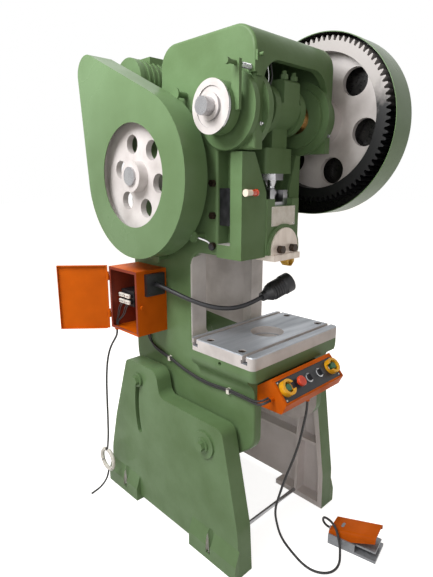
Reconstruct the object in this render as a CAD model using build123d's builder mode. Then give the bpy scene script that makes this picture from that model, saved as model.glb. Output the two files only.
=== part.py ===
from build123d import *
import os
from math import acos, atan2, cos, degrees, hypot, pi, radians, sin, sqrt, tan

os.makedirs("parts", exist_ok=True)

# An open-back inclinable power press of about 25 tonnes, upright, with the slide at the top of its stroke.
# Millimetres. X runs across the machine, -Y is its front and Z is up. The origin is on the floor, in the
# middle of the four anchor holes.

# Fits
run_fit = 0.05
bolt_fit = 0.3
move_gap = 0.4
overrun = 6.0

# Legs, one casting on each side
leg_inner = 250.0
leg_width = 75.0
leg_front = -461.0
leg_length = 907.0
leg_height = 719.0
leg_skin = 16.0
leg_rim = 24.0
leg_rib = 14.0
left_leg_front_shares = [(0.0, 0.0, 0.0), (0.0143, 0.278, 0.2), (0.1114, 0.8387, 0.055)]
right_leg_front_shares = [(0.0, 0.0, 0.0), (0.004, 0.25, 0.2), (0.068, 0.8387, 0.055)]
leg_back_shares = [(0.536, 0.8387, 0.055), (0.561, 1.0, 0.07), (0.808, 1.0, 0.05), (0.933, 0.542, 0.4),
                   (0.991, 0.264, 0.4), (1.0, 0.0, 0.0)]
leg_upright_rib_shares = [0.17, 0.62]
leg_level_rib_share = 0.445
foot_front_length = 276.0
foot_back_length = 246.0
foot_arch = 22.0
foot_inner_arch = 50.0
foot_floor = 28.0
foot_ledge = 22.0
foot_ledge_height = 64.0
foot_bevel_height = 127.0
foot_pocket = 17.0
anchor_spacing_x = 670.0
anchor_spacing_y = 606.0
anchor_hole = 9.0
tie_rod_radius = 9.0
tie_rod_y = -300.0
tie_rod_z = 22.0

# Tilt pivot and its lock
pivot_y = -262.0
pivot_z = 505.0
pivot_pin = 22.0
pivot_pin_inner = 196.0
pivot_boss = 56.0
pivot_head = 20.0
pivot_head_height = 16.0
pivot_washer = 30.0
lock_radius = 462.0
lock_angle = 17.0
slot_low_angle = -15.0
lock_bolt = 14.0
slot_gap = 1.0
slot_lip = 9.0
slot_lip_out = 4.0
slot_pad = 84.0
lock_head = 22.0
lock_head_height = 17.0
lock_washer = 32.0
washer_thick = 7.0

# Press frame: two side plates, bed and crown in one casting
cheek_outer = 230.0
cheek_wall = 40.0
head_front = -416.0
head_back = 78.0
head_bottom = 1633.0
head_top = 2033.0
crown_wall = 28.0
crown_back_z = 1880.0
crown_front_round = 92.0
crown_back_round = 84.0
opening_top = 1926.0
opening_round = 88.0
frame_back = 316.0
frame_back_top = 1690.0
frame_back_low = 630.0
frame_heel_round = 170.0
frame_low = 440.0
frame_low_front = -330.0
frame_low_back = -190.0
frame_round = 60.0
guide_front = -240.0
guide_bottom = 1250.0
guide_wall = 40.0
guide_inner = 105.0
column_front = -85.0
column_inner = 145.0
column_depth = 50.0
back_wall = 38.0
back_wall_low = 1330.0
heel_wall_low = 750.0
heel_wall_top = 850.0
head_edge_round = 10.0

# Bed and bolster plate
bed_half = 280.0
bed_front = -473.0
bed_back = -135.0
bed_bulge_drop = 50.0
bed_taper_drop = 93.0
bed_apron_drop = 143.0
bed_bottom = 525.0
cheek_front = -440.0
bed_wall = 40.0
bed_plate = 40.0
bed_low_round = 80.0
bed_edge_round = 20.0
bed_chute = 78.0
bolster_thick = 50.0
bolster_top = 913.0
bolster_edge = 3.0
die_hole = 70.0
die_step = 58.0
die_step_depth = 30.0
slot_inset = 44.0
slot_back_inset = 28.0
tslot_neck = 18.0
tslot_head = 32.0
tslot_head_height = 14.0
tslot_depth = 32.0
bolster_bolt_x = 246.0
bolster_bolt_inset = 84.0
bolster_bolt = 9.0
bolster_bolt_head = 15.0
bolster_bolt_head_height = 16.0
bolster_bolt_length = 44.0
socket = 7.0
socket_depth = 9.0
bed_hole_drop = 16.0
bed_hole = 8.0
bed_hole_depth = 16.0

# Crankshaft, its bushes and the brake at its left end
crank_y = -304.0
crank_z = 1768.0
crank_throw = 32.5
crank_journal = 45.0
crank_pin = 52.0
crank_pin_half = 58.0
crank_web = 88.0
crank_web_wide = 30.0
crank_left_end = -368.0
crank_left_radius = 30.0
crank_left_shoulder = -262.0
bush_outer = 58.0
boss_left = 135.0
boss_right = 112.0
boss_out = 22.0
boss_in = 140.0
boss_in_wide = 24.0
boss_step = 112.0
boss_step_wide = 16.0
brake_drum = 80.0
brake_flange = 88.0
brake_flange_wide = 9.0
brake_face = -327.0
brake_drum_wide = 62.0
brake_face_dish = 66.0
brake_face_dish_depth = 4.0
brake_band_thick = 7.0
brake_band_wide = 40.0
brake_arm_wide = 34.0
brake_arm_thick = 12.0
brake_arm_top = 1904.0
brake_arm_low = 1752.0
brake_pin = 7.0
brake_pin_out = 34.0
brake_pin_head = 11.0
brake_pin_head_wide = 10.0
spring_outer = 9.5
spring_wire = 2.4
spring_z = 1896.0
spring_y = -405.0
spring_end_x = -236.0
bracket_wide = 26.0
bracket_thick = 8.0
bracket_low = 1862.0
bracket_top = 1938.0
bracket_pin = 6.0
bracket_pin_out = 24.0

# Gear, pinion and back shaft
gear_module = 8.0
gear_teeth = 80
pinion_teeth = 32
tooth_addendum_share = 1.0
tooth_dedendum_share = 1.25
tooth_thick_share = 0.44
pressure_angle = 20.0
gear_left = 286.0
gear_wide = 80.0
gear_rim_inner = 271.0
gear_web_left = 338.0
gear_web_wide = 22.0
gear_hub = 92.0
gear_hub_in = 32.0
gear_hub_out = 8.0
gear_holes = 6
gear_hole = 55.0
gear_hole_ring = 205.0
gear_hole_turn = 14.0
gear_seat = 42.0
gear_end = 378.0
gear_washer = 62.0
gear_washer_thick = 8.0
back_shaft_y = 85.0
back_shaft_radius = 40.0
back_shaft_left = -396.0
back_boss = 82.0
back_boss_out = 24.0
back_boss_in = 20.0
back_bush = 50.0

# Flywheel, belts, pulley and motor
flywheel_radius = 300.0
flywheel_left = -368.0
flywheel_wide = 78.0
flywheel_rim_inner = 236.0
flywheel_web_left = -346.0
flywheel_web_wide = 26.0
flywheel_hub = 60.0
flywheel_hub_left = -388.0
flywheel_hub_right = -262.0
flywheel_holes = 6
flywheel_hole = 37.0
flywheel_hole_ring = 130.0
flywheel_hole_turn = 12.0
flywheel_seat = 36.0
belt_count = 3
belt_pitch = 24.0
belt_wide = 17.0
belt_thick = 11.0
groove_wide = 19.0
groove_depth = 13.0
pulley_radius = 59.0
pulley_wide = 76.0
motor_y = 378.0
motor_z = 1958.0
motor_radius = 94.0
motor_fin_radius = 98.0
motor_left = -180.0
motor_right = 128.0
motor_shaft = 14.0
motor_fins = 9
motor_fin_wide = 8.0
motor_bell = 22.0
motor_foot_half = 80.0
motor_foot_z = 1858.0
motor_box_half = 55.0
motor_box_top = 2066.0
motor_box_y_half = 50.0
bracket_plate = 15.0
bracket_end = 480.0
bracket_left = -190.0
bracket_right = 110.0
gusset_thick = 14.0
gusset_low = 1590.0

# Guards
guard_sheet = 3.0
fly_guard_radius = 325.0
fly_guard_tip_radius = 75.0
fly_guard_left = -385.0
fly_guard_right = -279.0
fly_guard_opening = 200.0
gear_guard_radius = 360.0
gear_guard_drop = 20.0
gear_guard_tip_radius = 148.0
gear_guard_left = 270.0
gear_guard_right = 394.0
post_radius = 11.0
post_tab = 22.0
post_tab_thick = 6.0
post_out = 9.0
fly_post_angles = [118.0, 222.0, 268.0]
gear_post_angle = 33.0
gear_tip_post_angles = [-60.0, -15.0]

# Slide, guides and connecting rod
slide_half = 100.0
slide_front = -370.0
slide_back = -246.0
slide_bottom = 1252.0
slide_top = 1462.0
slide_edge = 6.0
tongue_out = 28.0
tongue_front = -302.0
tongue_back = -270.0
gib_outer = 234.0
gib_front = -366.0
gib_bottom = 1246.0
gib_top = 1628.0
gib_corner_z = 1486.0
gib_neck = 168.0
right_gib_outer = 168.0
right_gib_front = -316.0
right_gib_neck = 140.0
gib_recess_x = 172.0
gib_recess_front = -310.0
gib_recess_low = 1296.0
wedge_low = 1366.0
wedge_high = 1502.0
wedge_wide = 46.0
gib_bolt_y = -221.0
gib_bolt_heights = [1289.0, 1402.0, 1520.0]
gib_bolt = 8.0
gib_bolt_length = 30.0
gib_bolt_head = 14.0
gib_bolt_head_height = 15.0
clamp_radius = 81.0
clamp_center_z = 1272.0
clamp_front = -384.0
clamp_ring = 14.0
clamp_ring_front = -378.0
clamp_bolt_x = 38.0
clamp_bolt = 9.0
clamp_bolt_head = 16.0
clamp_bolt_head_height = 22.0
clamp_bolt_grip = 24.0
lip_thick = 24.0
lip_front = -396.0
shank_bore = 20.0
shank_depth = 70.0
punch_mid = 20.0
punch_half = 22.0
punch_front = -398.0
punch_back = -362.0
punch_low = 1202.0
punch_chamfer = 16.0
punch_hole = 13.0
punch_hole_depth = 30.0
rod_big_end = 88.0
rod_half = 56.0
rod_shank_half_y = 36.0
rod_shank_low_half = 44.0
rod_block_half = 80.0
rod_block_half_y = 41.0
rod_block_low = 1555.0
rod_block_top = 1648.0
rod_block_round = 16.0
cap_half = 46.0
cap_half_y = 88.0
cap_top = 1882.0
stud_x = 28.0
stud_y = 70.0
stud = 9.0
stud_nut = 15.0
stud_nut_height = 16.0
stud_top = 1910.0
stud_low = 1772.0
screw_radius = 24.0
screw_top = 1636.0
screw_nut = 47.0
screw_nut_height = 24.0
screw_taper_low = 1508.0
screw_neck = 17.0
ball_radius = 24.0
ball_z = 1484.0
seat_half = 53.0
seat_half_y = 41.0
seat_low = 1436.0
seat_top = 1494.0
seat_slot_half = 26.0
seat_floor = 1449.0
sight_radius = 11.0
sight_half = 30.0
sight_cap = 13.0
sight_cap_wide = 7.0
sight_x = -200.0
sight_z = 1488.0

# Electric box on the left side
box_left = -385.0
box_front = 78.0
box_back = 286.0
box_low = 884.0
box_top = 1163.0
box_sheet = 3.0
box_rim = 12.0
hinge_out = 4.6
hinge_pin = 3.0
hinge_barrel = 6.0
hinge_barrel_height = 20.0
hinge_pin_height = 18.0
hinge_heights = [930.0, 1100.0]
hinge_leaf = 26.0
hinge_leaf_thick = 3.0
door_open_angle = 138.7
door_sheet = 3.0
door_flange = 13.0
door_gap = 1.5
lock_nub = 9.0
lock_nub_out = 8.0
lock_nub_x = -362.0
lock_nub_z = 1008.0
contactor_front = -345.0
contactor_y0 = 180.0
contactor_y1 = 276.0
contactor_z0 = 985.0
contactor_z1 = 1055.0
terminal_height = 15.0
terminal_wide = 34.0
terminal_gap = 12.0
contactor_step = 14.0
lamp_base_half = 47.0
lamp_base_thick = 18.0
lamp_base_x = -298.0
lamp_base_z = 1102.0
lamp_screw = 5.0
lamp_screw_out = 3.0
lamp_screw_inset = 10.0
neck_radius = 9.0
lamp_reach = 150.0
lamp_wide = 42.0
lamp_profile_shares = [(0.0, 0.45), (0.12, 0.5), (0.28, 0.84), (0.7, 0.9), (0.76, 1.0), (1.0, 1.0)]
lamp_rib = 39.0
lamp_rib_wide = 5.0
lamp_rib_start = 56.0
lamp_rib_count = 6
lamp_rib_pitch = 12.0
lamp_mouth_depth = 26.0
lamp_wall = 4.0

# Control panel on the bed front
panel_mid = -24.0
panel_half = 191.0
panel_back_top = 782.0
panel_back_low = 704.0
panel_ridge_y = -505.0
panel_ridge_z = 828.0
panel_lip_y = -577.0
panel_lip_z = 748.0
panel_toe_y = -556.0
panel_toe_z = 706.0
panel_sheet = 3.0
fascia_margin = 7.0
fascia_end = 10.0
fascia_grip = 3.0
fascia_thick = 3.0
panel_round = 5.0
run_button_x = 148.0
stop_x = -66.0
selector_places = [0.0, 69.0]
collar_outer = 31.0
collar_inner = 21.0
collar_height = 25.0
collar_notch = 24.0
button_radius = 15.0
button_lift = 8.0
button_height = 13.0
button_stem = 8.0
button_stem_depth = 18.0
stop_radius = 20.0
stop_height = 12.0
stop_stem = 9.0
stop_lift = 12.0
selector_radius = 13.0
selector_height = 9.0
selector_grip_half = 4.0
selector_grip_height = 9.0
panel_gland_y = -536.0
panel_gland_low = 688.0
end_gland_y = -514.0
end_gland_z = 752.0

# Foot switch
switch_x = 166.0
switch_y = -688.0
switch_turn = 11.0
switch_half = 60.0
switch_half_long = 102.0
switch_floor = 12.0
switch_wall = 10.0
switch_wall_height = 46.0
switch_block_y = 14.0
switch_block_height = 40.0
switch_wall_front = -14.0
cord_height = 30.0
hood_half = 54.0
hood_height = 112.0
hood_back_height = 70.0
hood_back_top = 80.0
hood_heel = 58.0
hood_round = 16.0
hood_sheet = 4.0
hood_front = -94.0
hood_wall_front = 4.0
hood_slope = 26.0
pedal_half = 46.0
pedal_front = -96.0
pedal_back = 10.0
pedal_thick = 8.0
pedal_z = 34.0
pedal_pivot_y = 2.0
pedal_pin = 4.0
gland_radius = 9.0
gland_length = 14.0

# Cords
foot_cord_radius = 5.0
mains_radius = 4.5
panel_cable_radius = 5.0
clip_half = 7.0
clip_strap = 1.5
clip_reach = 7.0
clip_flange = 4.0
side_clip_place = (-236.5, 56, 756)
bed_clip_place = (-236.5, -310, 722)
bend_share = 0.45
box_cable_gland = 6.0
mains_gland_x = -365.0
mains_gland_y = 275.0
cable_gland_x = -236.5
cable_gland_y = 203.0
hank_radius = 52.0
hank_tube = 10.0
hank_y = 392.0
hank_x = -384.0
hank_z = 160.0

foot_cord_route = [(-24, -536, 688), (-24, -536, 664), (-26, -535, 636), (-35, -532, 590), (-42, -526, 535),
                   (-50, -517, 480), (-63, -506, 425), (-77, -493, 370), (-83, -478, 315), (-81, -462, 262),
                   (-77, -446, 210), (-70, -432, 160), (-58, -425, 112), (-46, -426, 68), (-44, -437, 34),
                   (-48, -459, 13), (-58, -492, 6), (-75, -540, 6), (-90, -595, 6), (-90, -640, 6), (-72, -677, 6),
                   (-42, -700, 6), (-5, -704, 6), (30, -694, 6), (58, -678, 6), (86.3, -660.7, 12),
                   (90.1, -653.9, 34), (89.5, -645.8, 62), (92.2, -633.1, 88), (98.2, -611.5, 101),
                   (105.4, -585.7, 101), (115.9, -561.2, 90), (128.3, -546.6, 70), (135.8, -543.1, 48),
                   (140.8, -558.4, 30), (143.81, -573.84, 30)]
mains_route = [(-365, 275, 870), (-365, 275, 848), (-374, 281, 826), (-389, 288, 800), (-401, 295, 765),
               (-408, 302, 720), (-411, 309, 665), (-411, 316, 605), (-408, 324, 545), (-404, 333, 485),
               (-399, 343, 425), (-394, 355, 365), (-389, 367, 310), (-386, 379, 262), (-384.5, 389, 223)]
mains_tail_route = [(-384, 392, 97), (-389, 391, 76), (-398, 392, 54), (-412, 395, 34), (-432, 398, 18),
                    (-456, 400, 9), (-483, 400, 5)]
panel_cable_route = [(-236.5, 203, 870), (-236.5, 203, 840), (-236.5, 196, 806), (-236.5, 172, 782),
                     (-236.5, 130, 768), (-236.5, 95, 762), side_clip_place, (-236.5, 10, 744), (-236.5, -40, 731),
                     (-236.5, -98, 721), (-236.5, -145, 715), (-236.5, -195, 713), (-236.5, -250, 716),
                     bed_clip_place, (-237, -365, 722), (-239, -410, 722), (-247, -446, 726), (-259, -478, 734),
                     (-266, -499, 743), (-260, -511, 749), (-247, -514, 752), (-229, -514, 752)]
neck_route = [(-298, 60, 1102), (-298, 30, 1102), (-292, -14, 1092), (-279, -62, 1078), (-258, -110, 1060),
              (-231, -157, bolster_top + 131), (-196, -201, bolster_top + 119), (-150, -239, bolster_top + 115),
              (-100, -265, bolster_top + 123), (-56, -281, bolster_top + 137), (-22, -289, bolster_top + 149)]

# Sizes that follow from the ones above
leg_outer = leg_inner + leg_width
cheek_inner = cheek_outer - cheek_wall
bed_top = bolster_top - bolster_thick
bed_bulge_z = bed_top - bed_bulge_drop
bed_taper_z = bed_top - bed_taper_drop
bed_apron_z = bed_top - bed_apron_drop
bed_hole_z = bed_top - bed_hole_drop
bolster_mid_y = (bed_front + bed_back) / 2
bolster_depth = bed_back - bed_front
center_distance = gear_module * (gear_teeth + pinion_teeth) / 2
back_shaft_z = crank_z - sqrt(center_distance**2 - (back_shaft_y - crank_y) ** 2)
lock_y = pivot_y + lock_radius * cos(radians(lock_angle))
lock_z = pivot_z + lock_radius * sin(radians(lock_angle))
pin_z = crank_z + crank_throw
gear_right = gear_left + gear_wide
flywheel_right = flywheel_left + flywheel_wide
hinge_x = box_left - hinge_out
hinge_y = box_back + hinge_out
door_length = hinge_y - box_front + door_gap
lip_low = slide_bottom - lip_thick
slope_y = panel_lip_y - panel_ridge_y
slope_z = panel_lip_z - panel_ridge_z
slope_length = hypot(slope_y, slope_z)
panel_slope = Plane(origin=(panel_mid, panel_ridge_y + slope_y / 2, panel_ridge_z + slope_z / 2),
                    x_dir=(1, 0, 0), z_dir=(0, slope_z, -slope_y))
switch_plane = Plane(origin=(switch_x, switch_y, 0),
                     x_dir=(cos(radians(switch_turn)), sin(radians(switch_turn)), 0), z_dir=(0, 0, 1))


def keep(piece, name):
    """Label a finished piece and write it."""
    piece.part.label = name
    export_step(piece.part, f"parts/{name}.step")


def across(x, y=0.0, z=0.0):
    """Plane square to X: its own x is the machine's Y and its own y is Z."""
    return Plane(origin=(x, y, z), x_dir=(0, 1, 0), z_dir=(1, 0, 0))


def to_front(y, x=0.0, z=0.0):
    """Plane that faces the front: its own x is X and its own y is Z."""
    return Plane(origin=(x, y, z), x_dir=(1, 0, 0), z_dir=(0, -1, 0))


def slab(x, y, z, mode=Mode.ADD):
    """Block between two values on each axis."""
    with Locations(((x[0] + x[1]) / 2, (y[0] + y[1]) / 2, (z[0] + z[1]) / 2)):
        Box(abs(x[1] - x[0]), abs(y[1] - y[0]), abs(z[1] - z[0]), mode=mode)


def bar_x(x, y, z, radius, mode=Mode.ADD):
    """Round bar or bore along X."""
    with BuildSketch(across(x[0], y, z)) as ring:
        Circle(radius)
    extrude(ring.sketch, amount=x[1] - x[0], mode=mode)


def bar_y(y, x, z, radius, mode=Mode.ADD):
    """Round bar or bore along Y."""
    with BuildSketch(to_front(y[0], x, z)) as ring:
        Circle(radius)
    extrude(ring.sketch, amount=y[0] - y[1], mode=mode)


def bar_z(z, x, y, radius, mode=Mode.ADD):
    """Round bar or bore along Z."""
    with Locations((x, y, (z[0] + z[1]) / 2)):
        Cylinder(radius, abs(z[1] - z[0]), mode=mode)


def hex_x(x, y, z, radius):
    """Hexagon head along X."""
    with BuildSketch(across(x[0], y, z)) as head:
        RegularPolygon(radius, side_count=6)
    extrude(head.sketch, amount=x[1] - x[0])


def hex_z(z, x, y, radius):
    """Hexagon head along Z."""
    with BuildSketch(Plane.XY.offset(z[0])) as head:
        with Locations((x, y)):
            RegularPolygon(radius, side_count=6)
    extrude(head.sketch, amount=z[1] - z[0])


def slab_on(plane, x, y, z, mode=Mode.ADD):
    """Block between two values on each axis of a plane."""
    with Locations(plane.location * Location(((x[0] + x[1]) / 2, (y[0] + y[1]) / 2, (z[0] + z[1]) / 2))):
        Box(abs(x[1] - x[0]), abs(y[1] - y[0]), abs(z[1] - z[0]), mode=mode)


def post_on(plane, z, x, y, radius, mode=Mode.ADD):
    """Round post or bore that stands square on a plane."""
    with BuildSketch(plane.offset(z[0])) as ring:
        with Locations((x, y)):
            Circle(radius)
    extrude(ring.sketch, amount=z[1] - z[0], mode=mode)


def outline(points, radii):
    """Face with rounded corners in the sketch that is open."""
    with BuildLine() as edge:
        FilletPolyline(*points, radius=radii, close=True)
    make_face(edge.edges())


def teardrop(big, big_radius, small, small_radius):
    """Face round two circles, closed by the two lines that touch both."""
    way = atan2(small[1] - big[1], small[0] - big[0])
    spread = acos((big_radius - small_radius) / hypot(small[0] - big[0], small[1] - big[1]))

    def rim(center, radius, angle):
        return (center[0] + radius * cos(angle), center[1] + radius * sin(angle))

    with BuildLine() as edge:
        Line(rim(big, big_radius, way + spread), rim(small, small_radius, way + spread))
        ThreePointArc(rim(small, small_radius, way + spread), rim(small, small_radius, way),
                      rim(small, small_radius, way - spread))
        Line(rim(small, small_radius, way - spread), rim(big, big_radius, way - spread))
        ThreePointArc(rim(big, big_radius, way - spread), rim(big, big_radius, way + pi),
                      rim(big, big_radius, way + spread))
    make_face(edge.edges())


def cord_radii(route):
    """Largest bend that each corner of a cord's route has room for."""
    points = [Vector(*point) for point in route]
    runs = [b - a for a, b in zip(points, points[1:])]
    turns = [radians(a.get_angle(b)) for a, b in zip(runs, runs[1:])]
    return [bend_share * min(a.length, b.length) / tan(turn / 2) for a, b, turn in zip(runs, runs[1:], turns)]


def make_cord(route, radius, name):
    """Round tube along a route, with its bends and its volume printed."""
    radii = cord_radii(route)
    with BuildPart() as cord:
        with BuildLine() as path:
            FilletPolyline(*route, radius=radii)
        wire = path.wires()[0]
        with BuildSketch(Plane(origin=wire @ 0, z_dir=wire % 0)):
            Circle(radius)
        sweep(path=wire)
    length = wire.length
    even = cord.part.volume / (pi * radius**2 * length)
    print(name, "length", round(length), "tightest bend", round(min(radii)), "volume ratio", round(even, 4))
    keep(cord, name)


# Legs
slot_arc = Edge.make_circle(lock_radius, Plane((pivot_y, pivot_z, 0)), slot_low_angle, lock_angle)


def make_leg(side, front_shares, name):
    """Hollow leg with rim, ribs, pivot boss, arc slot and two footed ends."""
    leg_shares = front_shares + leg_back_shares
    leg_points = [(leg_front + y * leg_length, z * leg_height) for y, z, r in leg_shares]
    leg_radii = [r * leg_height for y, z, r in leg_shares]
    foot_rows = [(leg_front, leg_front + foot_front_length),
                 (leg_front + leg_length - foot_back_length, leg_front + leg_length)]
    outer = side * leg_outer
    with BuildPart() as leg:
        with BuildSketch(across(side * leg_inner)):
            outline(leg_points, leg_radii)
        extrude(amount=side * leg_width)
        with BuildSketch(across(side * leg_inner)):
            outline(leg_points, leg_radii)
            offset(amount=-leg_rim, mode=Mode.REPLACE)
            for share in leg_upright_rib_shares:
                with Locations((leg_front + share * leg_length, leg_height / 2)):
                    Rectangle(leg_rib, leg_height, mode=Mode.SUBTRACT)
            with Locations((leg_front + leg_length / 2, leg_level_rib_share * leg_height)):
                Rectangle(leg_length, leg_rib, mode=Mode.SUBTRACT)
            with Locations((pivot_y, pivot_z)):
                Circle(pivot_boss, mode=Mode.SUBTRACT)
            SlotArc(slot_arc, slot_pad, mode=Mode.SUBTRACT)
        extrude(amount=side * (leg_width - leg_skin), mode=Mode.SUBTRACT)
        slab((side * (leg_inner - overrun), side * (leg_outer + overrun)), (foot_rows[0][1], foot_rows[1][0]),
             (-overrun, foot_arch), Mode.SUBTRACT)
        slab((side * (leg_inner - overrun), side * (leg_outer - leg_skin)), (foot_rows[0][1], foot_rows[1][0]),
             (-overrun, foot_inner_arch), Mode.SUBTRACT)
        for row in foot_rows:
            with BuildSketch(to_front(row[1])) as pad:
                with BuildLine():
                    Polyline((outer, 0), (outer + side * foot_ledge, 0), (outer + side * foot_ledge, foot_ledge_height),
                             (outer, foot_bevel_height), close=True)
                make_face()
            extrude(pad.sketch, amount=row[1] - row[0])
        with BuildSketch(across(outer)) as slot_border:
            SlotArc(slot_arc, 2 * (lock_bolt + slot_gap + slot_lip))
        extrude(slot_border.sketch, amount=side * slot_lip_out)
        bar_x((outer, outer + side * washer_thick), pivot_y, pivot_z, pivot_boss)
        bar_x((side * (leg_inner - overrun), side * (leg_outer + washer_thick + overrun)), pivot_y, pivot_z,
              pivot_pin + bolt_fit, Mode.SUBTRACT)
        with BuildSketch(across(side * (leg_inner - overrun))):
            SlotArc(slot_arc, 2 * (lock_bolt + slot_gap))
        extrude(amount=side * (leg_width + 2 * overrun), mode=Mode.SUBTRACT)
        for end in (-1, 1):
            anchor = (side * anchor_spacing_x / 2, end * anchor_spacing_y / 2)
            bar_z((-overrun, foot_floor + overrun), *anchor, anchor_hole, Mode.SUBTRACT)
            bar_z((foot_floor, foot_bevel_height + overrun), *anchor, foot_pocket, Mode.SUBTRACT)
    keep(leg, name)


make_leg(-1, left_leg_front_shares, "left_leg")
make_leg(1, right_leg_front_shares, "right_leg")

# Tie rod between the feet
with BuildPart() as leg_tie_rod:
    bar_x((-leg_inner, leg_inner), tie_rod_y, tie_rod_z, tie_rod_radius)
keep(leg_tie_rod, "leg_tie_rod")

# Pins that the frame tilts on, and the bolts that lock it in the arc slots
with BuildPart() as pivot_pins:
    for side in (-1, 1):
        face = leg_outer + washer_thick
        bar_x((side * pivot_pin_inner, side * face), pivot_y, pivot_z, pivot_pin)
        bar_x((side * face, side * (face + washer_thick)), pivot_y, pivot_z, pivot_washer)
        hex_x((side * (face + washer_thick), side * (face + washer_thick + pivot_head_height)),
              pivot_y, pivot_z, pivot_head)
keep(pivot_pins, "pivot_pins")

with BuildPart() as tilt_lock_bolts:
    for side in (-1, 1):
        face = leg_outer + slot_lip_out + move_gap
        bar_x((side * cheek_inner, side * (face + washer_thick)), lock_y, lock_z, lock_bolt)
        bar_x((side * face, side * (face + washer_thick)), lock_y, lock_z, lock_washer)
        hex_x((side * (face + washer_thick), side * (face + washer_thick + lock_head_height)),
              lock_y, lock_z, lock_head)
keep(tilt_lock_bolts, "tilt_lock_bolts")

# Press frame
frame_points = [(head_front, head_bottom), (head_front, head_top), (head_back, head_top),
                (head_back, crown_back_z), (frame_back, frame_back_top), (frame_back, frame_back_low),
                (frame_low_back, frame_low), (frame_low_front, frame_low), (cheek_front, bed_bottom),
                (cheek_front, bed_top), (column_front, bed_top), (column_front, guide_bottom),
                (guide_front, guide_bottom), (guide_front, head_bottom)]
frame_radii = [0.0, crown_front_round, crown_back_round, frame_round, frame_round, frame_heel_round, frame_round,
               frame_round, bed_low_round, 0.0, 0.0, frame_round, 0.0, 0.0]
head_points = frame_points[:5] + [(frame_back, head_bottom)]
head_radii = frame_radii[:5] + [0.0]

with BuildPart() as bed_block:
    with BuildSketch(to_front(bed_back)):
        outline([(-bed_half, bed_top), (bed_half, bed_top), (bed_half, bed_bulge_z),
                 (cheek_outer, bed_taper_z), (cheek_outer, bed_apron_z), (-cheek_outer, bed_apron_z),
                 (-cheek_outer, bed_taper_z), (-bed_half, bed_bulge_z)],
                [0.0, 0.0, frame_round, frame_round, 0.0, 0.0, frame_round, frame_round])
    extrude(amount=bolster_depth)
    corners = bed_block.faces().sort_by(Axis.Y)[0].edges()
    fillet(corners.filter_by(Axis.Z), bed_edge_round)
    slab((-bed_half - overrun, bed_half + overrun), (bed_front - overrun, cheek_front),
         (bed_apron_z - overrun, bed_bulge_z), Mode.SUBTRACT)

with BuildPart() as side_plate:
    with BuildSketch(across(cheek_inner)):
        outline(frame_points, frame_radii)
    extrude(amount=cheek_wall)
    fillet(side_plate.faces().sort_by(Axis.X)[-1].edges(), head_edge_round)

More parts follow.
